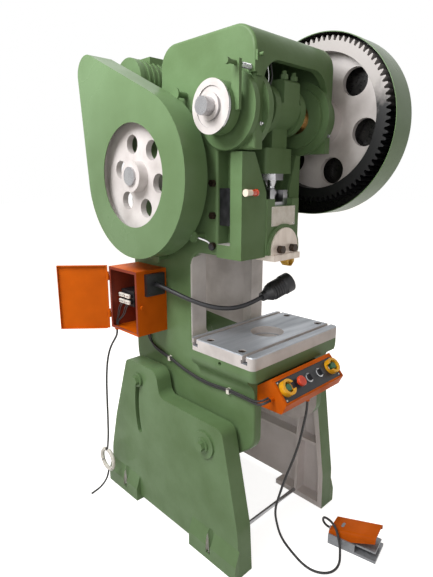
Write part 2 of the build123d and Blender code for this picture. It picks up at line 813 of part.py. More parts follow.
with BuildPart() as press_frame:
    add(side_plate.part)
    add(mirror(side_plate.part, about=Plane.YZ, mode=Mode.PRIVATE))
    add(bed_block.part)
    with BuildSketch(across(-cheek_inner)):
        outline(head_points, head_radii)
        offset(amount=-crown_wall, mode=Mode.SUBTRACT)
    extrude(amount=2 * cheek_inner)
    inside = (-cheek_inner, cheek_inner)
    slab(inside, (head_front + crown_wall, frame_back - crown_wall),
         (head_bottom - overrun, head_bottom + crown_wall + overrun), Mode.SUBTRACT)
    with BuildSketch(to_front(head_front + crown_wall + overrun)):
        outline([(-cheek_inner, head_bottom - overrun), (cheek_inner, head_bottom - overrun),
                 (cheek_inner, opening_top), (-cheek_inner, opening_top)],
                [0.0, 0.0, opening_round, opening_round])
    extrude(amount=crown_wall + 2 * overrun, mode=Mode.SUBTRACT)
    slab(inside, (cheek_front + bed_wall, frame_back + overrun), (frame_low - overrun, bed_top - bed_plate),
         Mode.SUBTRACT)
    slab(inside, (bed_back, column_front + column_depth), (bed_top - bed_plate, bed_top))
    slab(inside, (frame_back - back_wall, frame_back), (back_wall_low, frame_back_top - frame_round))
    slab(inside, (frame_back - back_wall, frame_back), (heel_wall_low, heel_wall_top))
    for side in (-1, 1):
        slab((side * column_inner, side * cheek_inner), (column_front, column_front + column_depth),
             (bed_top, guide_bottom))
        slab((side * guide_inner, side * cheek_inner), (guide_front, guide_front + guide_wall),
             (guide_bottom, head_bottom))
        boss = boss_left if side < 0 else boss_right
        bar_x((side * cheek_outer, side * (cheek_outer + boss_out)), crank_y, crank_z, boss)
        bar_x((side * (cheek_inner - boss_in_wide), side * cheek_inner), crank_y, crank_z, boss_in)
        bar_x((side * (cheek_inner - boss_in_wide - boss_step_wide), side * (cheek_inner - boss_in_wide)),
              crank_y, crank_z, boss_step)
        bar_x((side * (cheek_inner - back_boss_in), side * (cheek_outer + back_boss_out)),
              back_shaft_y, back_shaft_z, back_boss)
        bar_x((side * cheek_outer, side * (leg_inner - move_gap)), pivot_y, pivot_z, pivot_boss)
        bar_x((side * cheek_inner, side * (leg_inner - move_gap)), lock_y, lock_z, lock_washer)
        with BuildSketch(across(side * cheek_inner)) as lock_lug:
            teardrop((pivot_y, pivot_z), pivot_boss, (lock_y, lock_z), lock_washer)
        extrude(lock_lug.sketch, amount=side * (cheek_wall - head_edge_round))
        wall = (side * column_inner, side * (leg_inner + overrun))
        bar_x(wall, pivot_y, pivot_z, pivot_pin + run_fit, Mode.SUBTRACT)
        bar_x(wall, lock_y, lock_z, lock_bolt + bolt_fit, Mode.SUBTRACT)
        bores = (side * guide_inner, side * (cheek_outer + back_boss_out + overrun))
        bar_x(bores, crank_y, crank_z, bush_outer, Mode.SUBTRACT)
        bar_x(bores, back_shaft_y, back_shaft_z, back_bush, Mode.SUBTRACT)
        for height in gib_bolt_heights:
            bar_x((side * (cheek_outer - gib_bolt_length - bolt_fit), side * (cheek_outer + overrun)),
                  gib_bolt_y, height, gib_bolt + bolt_fit, Mode.SUBTRACT)
        bar_x((side * (bed_half - bed_hole_depth), side * (bed_half + overrun)), bolster_mid_y, bed_hole_z,
              bed_hole, Mode.SUBTRACT)
        for row in (bed_front + bolster_bolt_inset, bed_back - bolster_bolt_inset):
            bolt_end = bolster_top - bolster_bolt_length - bolster_bolt_head_height - overrun
            bar_z((bolt_end, bed_top + overrun), side * bolster_bolt_x, row,
                  bolster_bolt + bolt_fit, Mode.SUBTRACT)
    bar_z((bed_top - bed_plate - overrun, bed_top + overrun), 0, crank_y, bed_chute, Mode.SUBTRACT)
keep(press_frame, "press_frame")

# Bolster plate with two T-slots and a stepped die hole, and its bolts
slot_rows = (bed_front + slot_inset, bed_back - slot_back_inset)
bolt_rows = (bed_front + bolster_bolt_inset, bed_back - bolster_bolt_inset)
bolt_seat = bolster_top - bolster_bolt_head_height - bolster_edge

with BuildPart() as bolster_plate:
    slab((-bed_half, bed_half), (bed_front, bed_back), (bed_top, bolster_top))
    fillet(bolster_plate.edges().filter_by(Axis.Z), bed_edge_round)
    chamfer(bolster_plate.faces().sort_by(Axis.Z)[-1].edges(), bolster_edge)
    along = (-bed_half - overrun, bed_half + overrun)
    for row in slot_rows:
        slab(along, (row - tslot_neck / 2, row + tslot_neck / 2),
             (bolster_top - tslot_depth, bolster_top + overrun), Mode.SUBTRACT)
        slab(along, (row - tslot_head / 2, row + tslot_head / 2),
             (bolster_top - tslot_depth, bolster_top - tslot_depth + tslot_head_height), Mode.SUBTRACT)
    bar_z((bed_top - overrun, bolster_top + overrun), 0, crank_y, die_step, Mode.SUBTRACT)
    bar_z((bolster_top - die_step_depth, bolster_top + overrun), 0, crank_y, die_hole, Mode.SUBTRACT)
    for side in (-1, 1):
        for row in bolt_rows:
            bar_z((bed_top - overrun, bolster_top + overrun), side * bolster_bolt_x, row,
                  bolster_bolt + bolt_fit, Mode.SUBTRACT)
            bar_z((bolt_seat, bolster_top + overrun), side * bolster_bolt_x, row,
                  bolster_bolt_head + bolt_fit, Mode.SUBTRACT)
keep(bolster_plate, "bolster_plate")

with BuildPart() as bolster_bolts:
    for side in (-1, 1):
        for row in bolt_rows:
            x = side * bolster_bolt_x
            bar_z((bolt_seat - bolster_bolt_length, bolt_seat), x, row, bolster_bolt)
            bar_z((bolt_seat, bolt_seat + bolster_bolt_head_height), x, row, bolster_bolt_head)
            with BuildSketch(Plane.XY.offset(bolt_seat + bolster_bolt_head_height)):
                with Locations((x, row)):
                    RegularPolygon(socket, side_count=6)
            extrude(amount=-socket_depth, mode=Mode.SUBTRACT)
keep(bolster_bolts, "bolster_bolts")

# Bushes of the crankshaft and of the back shaft
with BuildPart() as shaft_bushes:
    for side in (-1, 1):
        wide = (side * (cheek_inner - boss_in_wide - boss_step_wide), side * (cheek_outer + boss_out))
        bar_x(wide, crank_y, crank_z, bush_outer - run_fit)
        bar_x(wide, crank_y, crank_z, crank_journal + run_fit, Mode.SUBTRACT)
        wide = (side * (cheek_inner - back_boss_in), side * (cheek_outer + back_boss_out))
        bar_x(wide, back_shaft_y, back_shaft_z, back_bush - run_fit)
        bar_x(wide, back_shaft_y, back_shaft_z, back_shaft_radius + run_fit, Mode.SUBTRACT)
keep(shaft_bushes, "shaft_bushes")

# Crankshaft, with its throw straight up
crank_arm = crank_pin_half + crank_web_wide
gear_face = cheek_outer + boss_out

with BuildPart() as crankshaft:
    bar_x((crank_left_end, crank_left_shoulder), crank_y, crank_z, crank_left_radius)
    bar_x((crank_left_shoulder, -crank_pin_half), crank_y, crank_z, crank_journal)
    bar_x((crank_pin_half, gear_face), crank_y, crank_z, crank_journal)
    bar_x((gear_face, gear_end), crank_y, crank_z, gear_seat)
    bar_x((gear_end - run_fit, gear_end + gear_washer_thick), crank_y, crank_z, gear_washer)
    for side in (-1, 1):
        bar_x((side * crank_pin_half, side * crank_arm), crank_y, crank_z + crank_throw / 2, crank_web)
    bar_x((-crank_pin_half, crank_pin_half), crank_y, pin_z, crank_pin)
keep(crankshaft, "crankshaft")

# Brake: drum on the crankshaft, band round it, and the spring that pulls the band's arm
band_right = brake_face + brake_drum_wide - bracket_thick
band_left = band_right - brake_band_wide
band_outer = brake_drum + move_gap + brake_band_thick
arm_left = (band_left + band_right - brake_arm_thick) / 2
arm_right = arm_left + brake_arm_thick
arm_mid_y = crank_y - band_outer

with BuildPart() as brake_drum_piece:
    bar_x((brake_face, brake_face + brake_flange_wide), crank_y, crank_z, brake_flange)
    bar_x((brake_face, brake_face + brake_drum_wide), crank_y, crank_z, brake_drum)
    bar_x((brake_face - overrun, brake_face + brake_face_dish_depth), crank_y, crank_z, brake_face_dish,
          Mode.SUBTRACT)
    bar_x((brake_face - overrun, brake_face + brake_face_dish_depth), crank_y, crank_z, crank_journal)
    bar_x((brake_face - 2 * overrun, brake_face + brake_drum_wide + overrun), crank_y, crank_z,
          crank_left_radius + run_fit, Mode.SUBTRACT)
keep(brake_drum_piece, "brake_drum")

with BuildPart() as brake_band:
    bar_x((band_left, band_right), crank_y, crank_z, band_outer)
    slab((arm_left, arm_right), (arm_mid_y - brake_arm_wide / 2, arm_mid_y + brake_arm_wide / 2),
         (brake_arm_low, brake_arm_top))
    bar_x((band_right - brake_arm_thick, -gear_face), crank_y + band_outer * cos(pi / 4),
          crank_z - band_outer * sin(pi / 4), brake_pin + brake_pin / 2)
    bar_x((band_left - overrun, brake_face + brake_drum_wide + overrun), crank_y, crank_z,
          brake_drum + move_gap, Mode.SUBTRACT)
    pin_high = brake_arm_top - brake_pin_head
    bar_x((arm_left - brake_pin_out, arm_right), arm_mid_y, pin_high, brake_pin)
    bar_x((arm_left - brake_pin_out - brake_pin_head_wide, arm_left - brake_pin_out), arm_mid_y, pin_high,
          brake_pin_head)
keep(brake_band, "brake_band")

with BuildPart() as brake_spring:
    bar_x((arm_right, spring_end_x - bracket_pin), spring_y, spring_z - spring_outer, spring_outer)
    bar_x((arm_right - overrun, spring_end_x), spring_y, spring_z - spring_outer, spring_outer - spring_wire,
          Mode.SUBTRACT)
keep(brake_spring, "brake_spring")

with BuildPart() as brake_bracket:
    slab((-cheek_outer, -cheek_outer + bracket_wide), (head_front - bracket_thick, head_front),
         (bracket_low, bracket_top))
    slab((spring_end_x - bracket_pin, -cheek_outer), (head_front - bracket_thick, spring_y + spring_outer),
         (spring_z - 2 * spring_outer - bracket_pin, spring_z + spring_outer))
    bar_y((head_front - bracket_pin_out, head_front - bracket_thick), -cheek_outer + bracket_wide / 2,
          bracket_top - bracket_wide / 2, bracket_pin)
keep(brake_bracket, "brake_bracket")


def toothed(center, teeth, turn):
    """Toothed outline in the sketch that is open, with one tooth at the angle turn."""
    pitch = gear_module * teeth / 2
    base = pitch * cos(radians(pressure_angle))
    tip = pitch + tooth_addendum_share * gear_module
    root = pitch - tooth_dedendum_share * gear_module

    def involute(radius):
        angle = acos(min(base / radius, 1.0))
        return tan(angle) - angle

    def half_angle(radius):
        return tooth_thick_share * pi / teeth + involute(pitch) - involute(radius)

    flank = [(radius, half_angle(radius)) for radius in (root, pitch, tip)]
    points = []
    for tooth in range(teeth):
        middle = turn + tooth * 2 * pi / teeth
        for radius, half in flank:
            points.append((center[0] + radius * cos(middle - half), center[1] + radius * sin(middle - half)))
        for radius, half in reversed(flank):
            points.append((center[0] + radius * cos(middle + half), center[1] + radius * sin(middle + half)))
    with BuildLine() as edge:
        Polyline(*points, close=True)
    make_face(edge.edges())


# Large gear on the crankshaft, and the back shaft that drives it
mesh_angle = atan2(back_shaft_z - crank_z, back_shaft_y - crank_y)

with BuildPart() as drive_gear:
    with BuildSketch(across(gear_left)):
        toothed((crank_y, crank_z), gear_teeth, mesh_angle)
        with Locations((crank_y, crank_z)):
            Circle(gear_rim_inner, mode=Mode.SUBTRACT)
    extrude(amount=gear_wide)
    bar_x((gear_web_left, gear_web_left + gear_web_wide), crank_y, crank_z, gear_rim_inner + overrun)
    with BuildSketch(across(gear_web_left - overrun, crank_y, crank_z)):
        with PolarLocations(gear_hole_ring, gear_holes, start_angle=gear_hole_turn):
            Circle(gear_hole)
    extrude(amount=gear_web_wide + 2 * overrun, mode=Mode.SUBTRACT)
    hub_span = (gear_left - gear_hub_in, gear_right + gear_hub_out)
    bar_x(hub_span, crank_y, crank_z, gear_hub)
    bar_x((hub_span[0] - overrun, hub_span[1] + overrun), crank_y, crank_z, gear_seat + run_fit,
          Mode.SUBTRACT)
keep(drive_gear, "drive_gear")

with BuildPart() as back_shaft:
    bar_x((back_shaft_left, flywheel_hub_right), back_shaft_y, back_shaft_z, flywheel_seat)
    bar_x((flywheel_hub_right, gear_right), back_shaft_y, back_shaft_z, back_shaft_radius)
    with BuildSketch(across(gear_left)):
        toothed((back_shaft_y, back_shaft_z), pinion_teeth, mesh_angle + pi + pi / pinion_teeth)
    extrude(amount=gear_wide)
keep(back_shaft, "back_shaft")

# Flywheel with three belt grooves
fly_mid = flywheel_left + flywheel_wide / 2
belt_places = [fly_mid + (n - (belt_count - 1) / 2) * belt_pitch for n in range(belt_count)]


def cut_grooves(y, z, radius):
    """Belt grooves in a round rim."""
    for place in belt_places:
        with BuildSketch(across(place - groove_wide / 2, y, z)) as ring:
            Circle(radius + overrun)
            Circle(radius - groove_depth, mode=Mode.SUBTRACT)
        extrude(ring.sketch, amount=groove_wide, mode=Mode.SUBTRACT)


with BuildPart() as flywheel:
    bar_x((flywheel_left, flywheel_right), back_shaft_y, back_shaft_z, flywheel_radius)
    bar_x((flywheel_left - overrun, flywheel_right + overrun), back_shaft_y, back_shaft_z, flywheel_rim_inner,
          Mode.SUBTRACT)
    bar_x((flywheel_web_left, flywheel_web_left + flywheel_web_wide), back_shaft_y, back_shaft_z,
          flywheel_rim_inner + overrun)
    with BuildSketch(across(flywheel_web_left - overrun, back_shaft_y, back_shaft_z)):
        with PolarLocations(flywheel_hole_ring, flywheel_holes, start_angle=flywheel_hole_turn):
            Circle(flywheel_hole)
    extrude(amount=flywheel_web_wide + 2 * overrun, mode=Mode.SUBTRACT)
    bar_x((flywheel_hub_left, flywheel_hub_right), back_shaft_y, back_shaft_z, flywheel_hub)
    bar_x((flywheel_hub_left - overrun, flywheel_hub_right + overrun), back_shaft_y, back_shaft_z,
          flywheel_seat + run_fit, Mode.SUBTRACT)
    cut_grooves(back_shaft_y, back_shaft_z, flywheel_radius)
keep(flywheel, "flywheel")

# Motor pulley on its shaft, belts, motor and the bracket behind the crown
with BuildPart() as motor_pulley:
    bar_x((fly_mid - pulley_wide / 2, fly_mid + pulley_wide / 2), motor_y, motor_z, pulley_radius)
    cut_grooves(motor_y, motor_z, pulley_radius)
    bar_x((fly_mid - pulley_wide / 2 - overrun, motor_left + motor_bell), motor_y, motor_z, motor_shaft)
keep(motor_pulley, "motor_pulley")

with BuildPart() as drive_belts:
    inner_big = flywheel_radius - groove_depth + move_gap
    inner_small = pulley_radius - groove_depth + move_gap
    for place in belt_places:
        with BuildSketch(across(place - belt_wide / 2)):
            teardrop((back_shaft_y, back_shaft_z), inner_big + belt_thick, (motor_y, motor_z),
                     inner_small + belt_thick)
        with BuildSketch(across(place - belt_wide / 2)) as loop_inside:
            teardrop((back_shaft_y, back_shaft_z), inner_big, (motor_y, motor_z), inner_small)
        extrude(amount=belt_wide)
        extrude(loop_inside.sketch, amount=belt_wide, mode=Mode.SUBTRACT)
keep(drive_belts, "drive_belts")

with BuildPart() as motor:
    bar_x((motor_left, motor_right), motor_y, motor_z, motor_radius)
    for end in (motor_left, motor_right):
        inward = motor_bell if end == motor_left else -motor_bell
        bar_x((end, end + inward), motor_y, motor_z, motor_fin_radius)
    fin_step = (motor_right - motor_left - 2 * motor_bell) / (motor_fins + 1)
    for fin in range(motor_fins):
        middle = motor_left + motor_bell + (fin + 1) * fin_step
        bar_x((middle - motor_fin_wide / 2, middle + motor_fin_wide / 2), motor_y, motor_z, motor_fin_radius)
    motor_mid = (bracket_left + bracket_right) / 2
    for side in (-1, 1):
        slab((motor_mid - motor_foot_half, motor_mid + motor_foot_half),
             (motor_y + side * motor_foot_half / 2, motor_y + side * motor_foot_half),
             (motor_foot_z, motor_z))
    slab((motor_mid - motor_box_half, motor_mid + motor_box_half),
         (motor_y - motor_box_y_half, motor_y + motor_box_y_half), (motor_z, motor_box_top))
    bar_x((motor_left - overrun, motor_left + motor_bell + overrun), motor_y, motor_z, motor_shaft + run_fit,
          Mode.SUBTRACT)
keep(motor, "motor")

# The frame's back slopes from the crown to the column, and the gussets follow it
slope_run = (frame_back - head_back) / (crown_back_z - frame_back_top)
slope_top_y = head_back + slope_run * (crown_back_z - motor_foot_z)

with BuildPart() as motor_bracket:
    slab((bracket_left, bracket_right), (slope_top_y + slope_run * bracket_plate, bracket_end),
         (motor_foot_z - bracket_plate, motor_foot_z))
    for place in (bracket_left, bracket_right - gusset_thick):
        with BuildSketch(across(place)):
            outline([(slope_top_y, motor_foot_z), (bracket_end, motor_foot_z),
                     (bracket_end, motor_foot_z - bracket_plate), (frame_back, gusset_low),
                     (frame_back, frame_back_top)], [0.0, 0.0, 0.0, 0.0, frame_round])
        extrude(amount=gusset_thick)
keep(motor_bracket, "motor_bracket")


def make_guard(big, big_radius, small, small_radius, edges, face, posts, axle, opening, name):
    """Sheet guard: a band and a side plate, on posts that stand on the frame."""
    depth = edges[1] - edges[0]
    plate = face[1] - face[0]
    with BuildPart() as guard:
        with BuildSketch(across(edges[0])):
            teardrop(big, big_radius, small, small_radius)
        extrude(amount=depth)
        with BuildSketch(across(edges[0])):
            teardrop(big, big_radius - guard_sheet, small, small_radius - guard_sheet)
        extrude(amount=depth, mode=Mode.SUBTRACT)
        with BuildSketch(across(face[0])):
            teardrop(big, big_radius, small, small_radius)
            with Locations(axle):
                Circle(opening, mode=Mode.SUBTRACT)
        extrude(amount=plate)
        for y, z, foot, tab in posts:
            bar_x((foot, tab[0]), y, z, post_radius)
            bar_x(tab, y, z, post_tab)
    keep(guard, name)


def around(center, radius, angle):
    """Place on a circle in the side view, by its angle in degrees."""
    return (center[0] + radius * cos(radians(angle)), center[1] + radius * sin(radians(angle)))


fly_axis = (back_shaft_y, back_shaft_z)
crank_axis = (crank_y, crank_z)
gear_guard_axis = (crank_y, crank_z - gear_guard_drop)
fly_tab = (fly_guard_right, fly_guard_right - post_tab_thick)
fly_posts = [around(fly_axis, fly_guard_radius + post_out, angle) + (-cheek_outer, fly_tab)
             for angle in fly_post_angles]
gear_tab = (gear_guard_left, gear_guard_left + post_tab_thick)
gear_posts = [around(gear_guard_axis, gear_guard_radius + post_out, gear_post_angle) + (cheek_outer, gear_tab)]
gear_posts += [around(fly_axis, gear_guard_tip_radius + post_out, angle) + (cheek_outer, gear_tab)
               for angle in gear_tip_post_angles]
make_guard(fly_axis, fly_guard_radius, (motor_y, motor_z), fly_guard_tip_radius,
           (fly_guard_left, fly_guard_right), (fly_guard_left, fly_guard_left + guard_sheet), fly_posts,
           fly_axis, fly_guard_opening, "flywheel_guard")
make_guard(gear_guard_axis, gear_guard_radius, fly_axis, gear_guard_tip_radius,
           (gear_guard_left, gear_guard_right), (gear_guard_right - guard_sheet, gear_guard_right),
           gear_posts, crank_axis, gear_hub, "gear_guard")

# Gibs beside the slide, their wedges and bolts
guide_face = slide_half + move_gap


def make_gib(side, outer, front, neck, name):
    """Guide bar, grooved for the slide's tongue. The left one is recessed for its wedge."""
    points = [(side * guide_face, gib_bottom), (side * outer, gib_bottom), (side * outer, gib_top),
              (side * neck, gib_top), (side * guide_face, gib_corner_z)]
    with BuildPart() as gib:
        with BuildSketch(to_front(guide_front)):
            with BuildLine():
                Polyline(*points, close=True)
            make_face()
        extrude(amount=guide_front - front)
        slab((side * (guide_face - overrun), side * (guide_face + tongue_out)),
             (tongue_front - move_gap, tongue_back + move_gap), (gib_bottom - overrun, gib_top + overrun),
             Mode.SUBTRACT)
        if side < 0:
            slab((-gib_recess_x, -outer - overrun), (gib_recess_front, guide_front + overrun),
                 (gib_recess_low, gib_top + overrun), Mode.SUBTRACT)
    keep(gib, name)


make_gib(-1, gib_outer, gib_front, gib_neck, "left_gib")
make_gib(1, right_gib_outer, right_gib_front, right_gib_neck, "right_gib")

with BuildPart() as gib_wedges:
    slab((-gib_recess_x, -gib_recess_x - wedge_wide), (gib_recess_front, guide_front), (wedge_low, wedge_high))
keep(gib_wedges, "gib_wedges")

with BuildPart() as gib_bolts:
    for side in (-1, 1):
        for height in gib_bolt_heights:
            bar_x((side * (cheek_outer - gib_bolt_length), side * cheek_outer), gib_bolt_y, height, gib_bolt)
            hex_x((side * cheek_outer, side * (cheek_outer + gib_bolt_head_height)), gib_bolt_y, height,
                  gib_bolt_head)
keep(gib_bolts, "gib_bolts")

# Slide with the shank clamp in its front
clamp_fit = clamp_radius + bolt_fit
clamp_under = clamp_center_z - 2 * clamp_radius

with BuildPart() as slide:
    slab((-slide_half, slide_half), (slide_front, slide_back), (slide_bottom, slide_top))
    fillet(slide.edges().filter_by(Axis.Z), slide_edge)
    for side in (-1, 1):
        slab((side * (slide_half - overrun), side * (slide_half + tongue_out)), (tongue_front, tongue_back),
             (slide_bottom, slide_top))
    bar_y((clamp_ring_front, crank_y), 0, clamp_center_z, clamp_radius + clamp_ring)
    slab((-slide_half, slide_half), (clamp_ring_front - overrun, crank_y + overrun),
         (clamp_under, slide_bottom), Mode.SUBTRACT)
    bar_y((clamp_ring_front - overrun, crank_y), 0, clamp_center_z, clamp_fit, Mode.SUBTRACT)
    slab((-clamp_fit, clamp_fit), (clamp_ring_front - overrun, crank_y),
         (slide_bottom - overrun, clamp_center_z), Mode.SUBTRACT)
    slab((-seat_half - bolt_fit, seat_half + bolt_fit), (slide_front - overrun, slide_back + overrun),
         (seat_low, slide_top + overrun), Mode.SUBTRACT)
    bar_z((slide_bottom - overrun, slide_bottom + shank_depth), 0, crank_y, shank_bore, Mode.SUBTRACT)
    for side in (-1, 1):
        bar_y((crank_y - overrun, crank_y + clamp_bolt_grip + bolt_fit), side * clamp_bolt_x, clamp_center_z,
              clamp_bolt + bolt_fit, Mode.SUBTRACT)
keep(slide, "slide")

with BuildPart() as shank_clamp:
    bar_y((clamp_front, crank_y), 0, clamp_center_z, clamp_radius)
    slab((-clamp_radius, clamp_radius), (clamp_front, crank_y), (clamp_under, slide_bottom), Mode.SUBTRACT)
    slab((-clamp_radius, clamp_radius), (clamp_front, crank_y), (slide_bottom, clamp_center_z))
    slab((-clamp_radius, clamp_radius), (lip_front, crank_y), (lip_low, slide_bottom))
    bar_z((lip_low - overrun, slide_bottom + shank_depth), 0, crank_y, shank_bore, Mode.SUBTRACT)
    for side in (-1, 1):
        bar_y((clamp_front - overrun, crank_y + overrun), side * clamp_bolt_x, clamp_center_z,
              clamp_bolt + bolt_fit, Mode.SUBTRACT)
keep(shank_clamp, "shank_clamp")

with BuildPart() as clamp_bolts:
    for side in (-1, 1):
        bar_y((clamp_front, crank_y + clamp_bolt_grip), side * clamp_bolt_x, clamp_center_z, clamp_bolt)
        with BuildSketch(to_front(clamp_front, side * clamp_bolt_x, clamp_center_z)):
            RegularPolygon(clamp_bolt_head, side_count=6)
        extrude(amount=clamp_bolt_head_height)
keep(clamp_bolts, "clamp_bolts")

with BuildPart() as punch_block:
    slab((punch_mid - punch_half, punch_mid + punch_half), (punch_front, punch_back), (punch_low, lip_low))
    chamfer(punch_block.faces().sort_by(Axis.Z)[0].edges().filter_by(Axis.Y), punch_chamfer)
    bar_y((punch_front - overrun, punch_front + punch_hole_depth), punch_mid, (punch_low + lip_low) / 2,
          punch_hole, Mode.SUBTRACT)
keep(punch_block, "punch_block")

with BuildPart() as ball_seat:
    slab((-seat_half, seat_half), (crank_y - seat_half_y, crank_y + seat_half_y), (seat_low, seat_top))
    slab((-seat_slot_half, seat_slot_half),
         (crank_y - seat_half_y - overrun, crank_y + seat_half_y + overrun),
         (seat_floor, seat_top + overrun), Mode.SUBTRACT)
keep(ball_seat, "ball_seat")

# Connecting rod, split at the crank pin, with the adjusting screw in its foot
rod_back = crank_y + rod_big_end + overrun
rod_ahead = crank_y - rod_big_end - overrun
stud_places = [(side * stud_x, crank_y + end * stud_y) for side in (-1, 1) for end in (-1, 1)]

with BuildPart() as rod_block:
    slab((-rod_block_half, rod_block_half), (crank_y - rod_block_half_y, crank_y + rod_block_half_y),
         (rod_block_low, rod_block_top))
    fillet(rod_block.edges().filter_by(Axis.Z), rod_block_round)

with BuildPart() as connecting_rod:
    bar_x((-rod_half, rod_half), crank_y, pin_z, rod_big_end)
    slab((-rod_half, rod_half), (rod_ahead, rod_back), (pin_z, pin_z + 2 * rod_big_end), Mode.SUBTRACT)
    slab((-rod_shank_low_half, rod_shank_low_half), (crank_y - rod_shank_half_y, crank_y + rod_shank_half_y),
         (rod_block_top - overrun, pin_z - crank_pin))
    add(rod_block.part)
    bar_x((-rod_half - overrun, rod_half + overrun), crank_y, pin_z, crank_pin + run_fit, Mode.SUBTRACT)
    bar_z((rod_block_low - overrun, screw_top + run_fit), 0, crank_y, screw_radius + run_fit, Mode.SUBTRACT)
    for x, y in stud_places:
        bar_z((stud_low - bolt_fit, pin_z + overrun), x, y, stud + bolt_fit, Mode.SUBTRACT)
keep(connecting_rod, "connecting_rod")

with BuildPart() as rod_cap:
    slab((-cap_half, cap_half), (crank_y - cap_half_y, crank_y + cap_half_y), (pin_z, cap_top))
    fillet(rod_cap.faces().sort_by(Axis.Z)[-1].edges().filter_by(Axis.X), rod_block_round)
    bar_x((-cap_half - overrun, cap_half + overrun), crank_y, pin_z, crank_pin + run_fit, Mode.SUBTRACT)
    for x, y in stud_places:
        bar_z((pin_z - overrun, cap_top + overrun), x, y, stud + bolt_fit, Mode.SUBTRACT)
keep(rod_cap, "rod_cap")

with BuildPart() as cap_studs:
    for x, y in stud_places:
        bar_z((stud_low, stud_top), x, y, stud)
        hex_z((cap_top, cap_top + stud_nut_height), x, y, stud_nut)
keep(cap_studs, "cap_studs")

nut_low = rod_block_low - screw_nut_height

with BuildPart() as adjusting_screw:
    bar_z((rod_block_low, screw_top), 0, crank_y, screw_radius)
    hex_z((nut_low, rod_block_low), 0, crank_y, screw_nut)
    with Locations((0, crank_y, (screw_taper_low + nut_low) / 2)):
        Cone(screw_neck, screw_radius, nut_low - screw_taper_low)
    bar_z((ball_z, screw_taper_low), 0, crank_y, screw_neck)
    with Locations((0, crank_y, ball_z)):
        Sphere(ball_radius)
keep(adjusting_screw, "adjusting_screw")

# Oil sight on the left gib
sight_y = gib_front - sight_cap

with BuildPart() as oil_sight:
    bar_x((sight_x - sight_half, sight_x + sight_half), sight_y, sight_z, sight_radius)
    for side in (-1, 1):
        bar_x((sight_x + side * sight_half, sight_x + side * (sight_half - sight_cap_wide)), sight_y, sight_z,
              sight_cap)
    slab((sight_x - sight_cap, sight_x + sight_cap), (sight_y, gib_front), (sight_z - sight_cap_wide,
         sight_z + sight_cap_wide))
keep(oil_sight, "oil_sight")

# Electric box with its open door
with BuildPart() as electric_box:
    slab((box_left, -cheek_outer), (box_front, box_back), (box_low, box_top))
    slab((box_left + box_sheet, -cheek_outer - box_sheet), (box_front + box_sheet, box_back - box_sheet),
         (box_low + box_sheet, box_top - box_sheet), Mode.SUBTRACT)
    slab((box_left - overrun, box_left + overrun), (box_front + box_rim, box_back - box_rim),
         (box_low + box_rim, box_top - box_rim), Mode.SUBTRACT)
    bar_y((box_front - lock_nub_out, box_front), lock_nub_x, lock_nub_z, lock_nub)
    for height in hinge_heights:
        bar_z((height, height + hinge_barrel_height), hinge_x, hinge_y, hinge_barrel)
        bar_z((height, height + hinge_barrel_height + hinge_pin_height), hinge_x, hinge_y, hinge_pin)
        slab((box_left, box_left + hinge_leaf), (box_back, box_back + hinge_leaf_thick),
             (height, height + hinge_barrel_height))
    bar_z((box_low - gland_length, box_low), mains_gland_x, mains_gland_y, gland_radius)
    bar_z((box_low - gland_length, box_low), cable_gland_x, cable_gland_y, box_cable_gland)
keep(electric_box, "electric_box")

door_way = radians(door_open_angle)
door_plane = Plane(origin=(hinge_x, hinge_y, 0), x_dir=(cos(door_way), sin(door_way), 0), z_dir=(0, 0, 1))
door_end = door_length + door_sheet
door_low = box_low - door_gap - door_sheet
door_top = box_top + door_gap + door_sheet
door_relief = hinge_out + hinge_barrel + move_gap

with BuildPart() as box_door:
    slab_on(door_plane, (0, door_end), (0, door_sheet), (door_low, door_top))
    slab_on(door_plane, (door_length, door_end), (0, door_flange), (door_low, door_top))
    for height in (door_low, door_top - door_sheet):
        slab_on(door_plane, (door_relief, door_end), (0, door_flange), (height, height + door_sheet))
    for height in hinge_heights:
        barrel_top = height + hinge_barrel_height + move_gap
        slab_on(door_plane, (-overrun, door_relief), (-overrun, door_flange), (height - move_gap, barrel_top),
                Mode.SUBTRACT)
        bar_z((barrel_top, height + hinge_barrel_height + hinge_pin_height), hinge_x, hinge_y, hinge_barrel)
    for height in hinge_heights:
        barrel_top = height + hinge_barrel_height
        bar_z((barrel_top, barrel_top + hinge_pin_height + move_gap), hinge_x, hinge_y, hinge_pin + run_fit,
              Mode.SUBTRACT)
keep(box_door, "box_door")

contactor_back = -cheek_outer - box_sheet
contactor_mid_y = (contactor_y0 + contactor_y1) / 2
contactor_mid_z = (contactor_z0 + contactor_z1) / 2

with BuildPart() as contactor:
    slab((contactor_front + contactor_step, contactor_back), (contactor_y0, contactor_y1),
         (contactor_z0, contactor_z1))
    for side in (-1, 1):
        for level in (-1, 1):
            y = contactor_mid_y + side * (terminal_wide + terminal_gap) / 2
            z = contactor_mid_z + level * (terminal_height + terminal_gap) / 2
            slab((contactor_front, contactor_front + contactor_step),
                 (y - terminal_wide / 2, y + terminal_wide / 2),
                 (z - terminal_height / 2, z + terminal_height / 2))
keep(contactor, "contactor")

# Work lamp on a flexible neck
base_front = box_front - lamp_base_thick

with BuildPart() as lamp_base:
    slab((lamp_base_x - lamp_base_half, lamp_base_x + lamp_base_half), (base_front, box_front),
         (lamp_base_z - lamp_base_half, lamp_base_z + lamp_base_half))
    for side in (-1, 1):
        for level in (-1, 1):
            bar_y((base_front - lamp_screw_out, base_front),
                  lamp_base_x + side * (lamp_base_half - lamp_screw_inset),
                  lamp_base_z + level * (lamp_base_half - lamp_screw_inset), lamp_screw)
keep(lamp_base, "lamp_base")

make_cord(neck_route, neck_radius, "gooseneck")

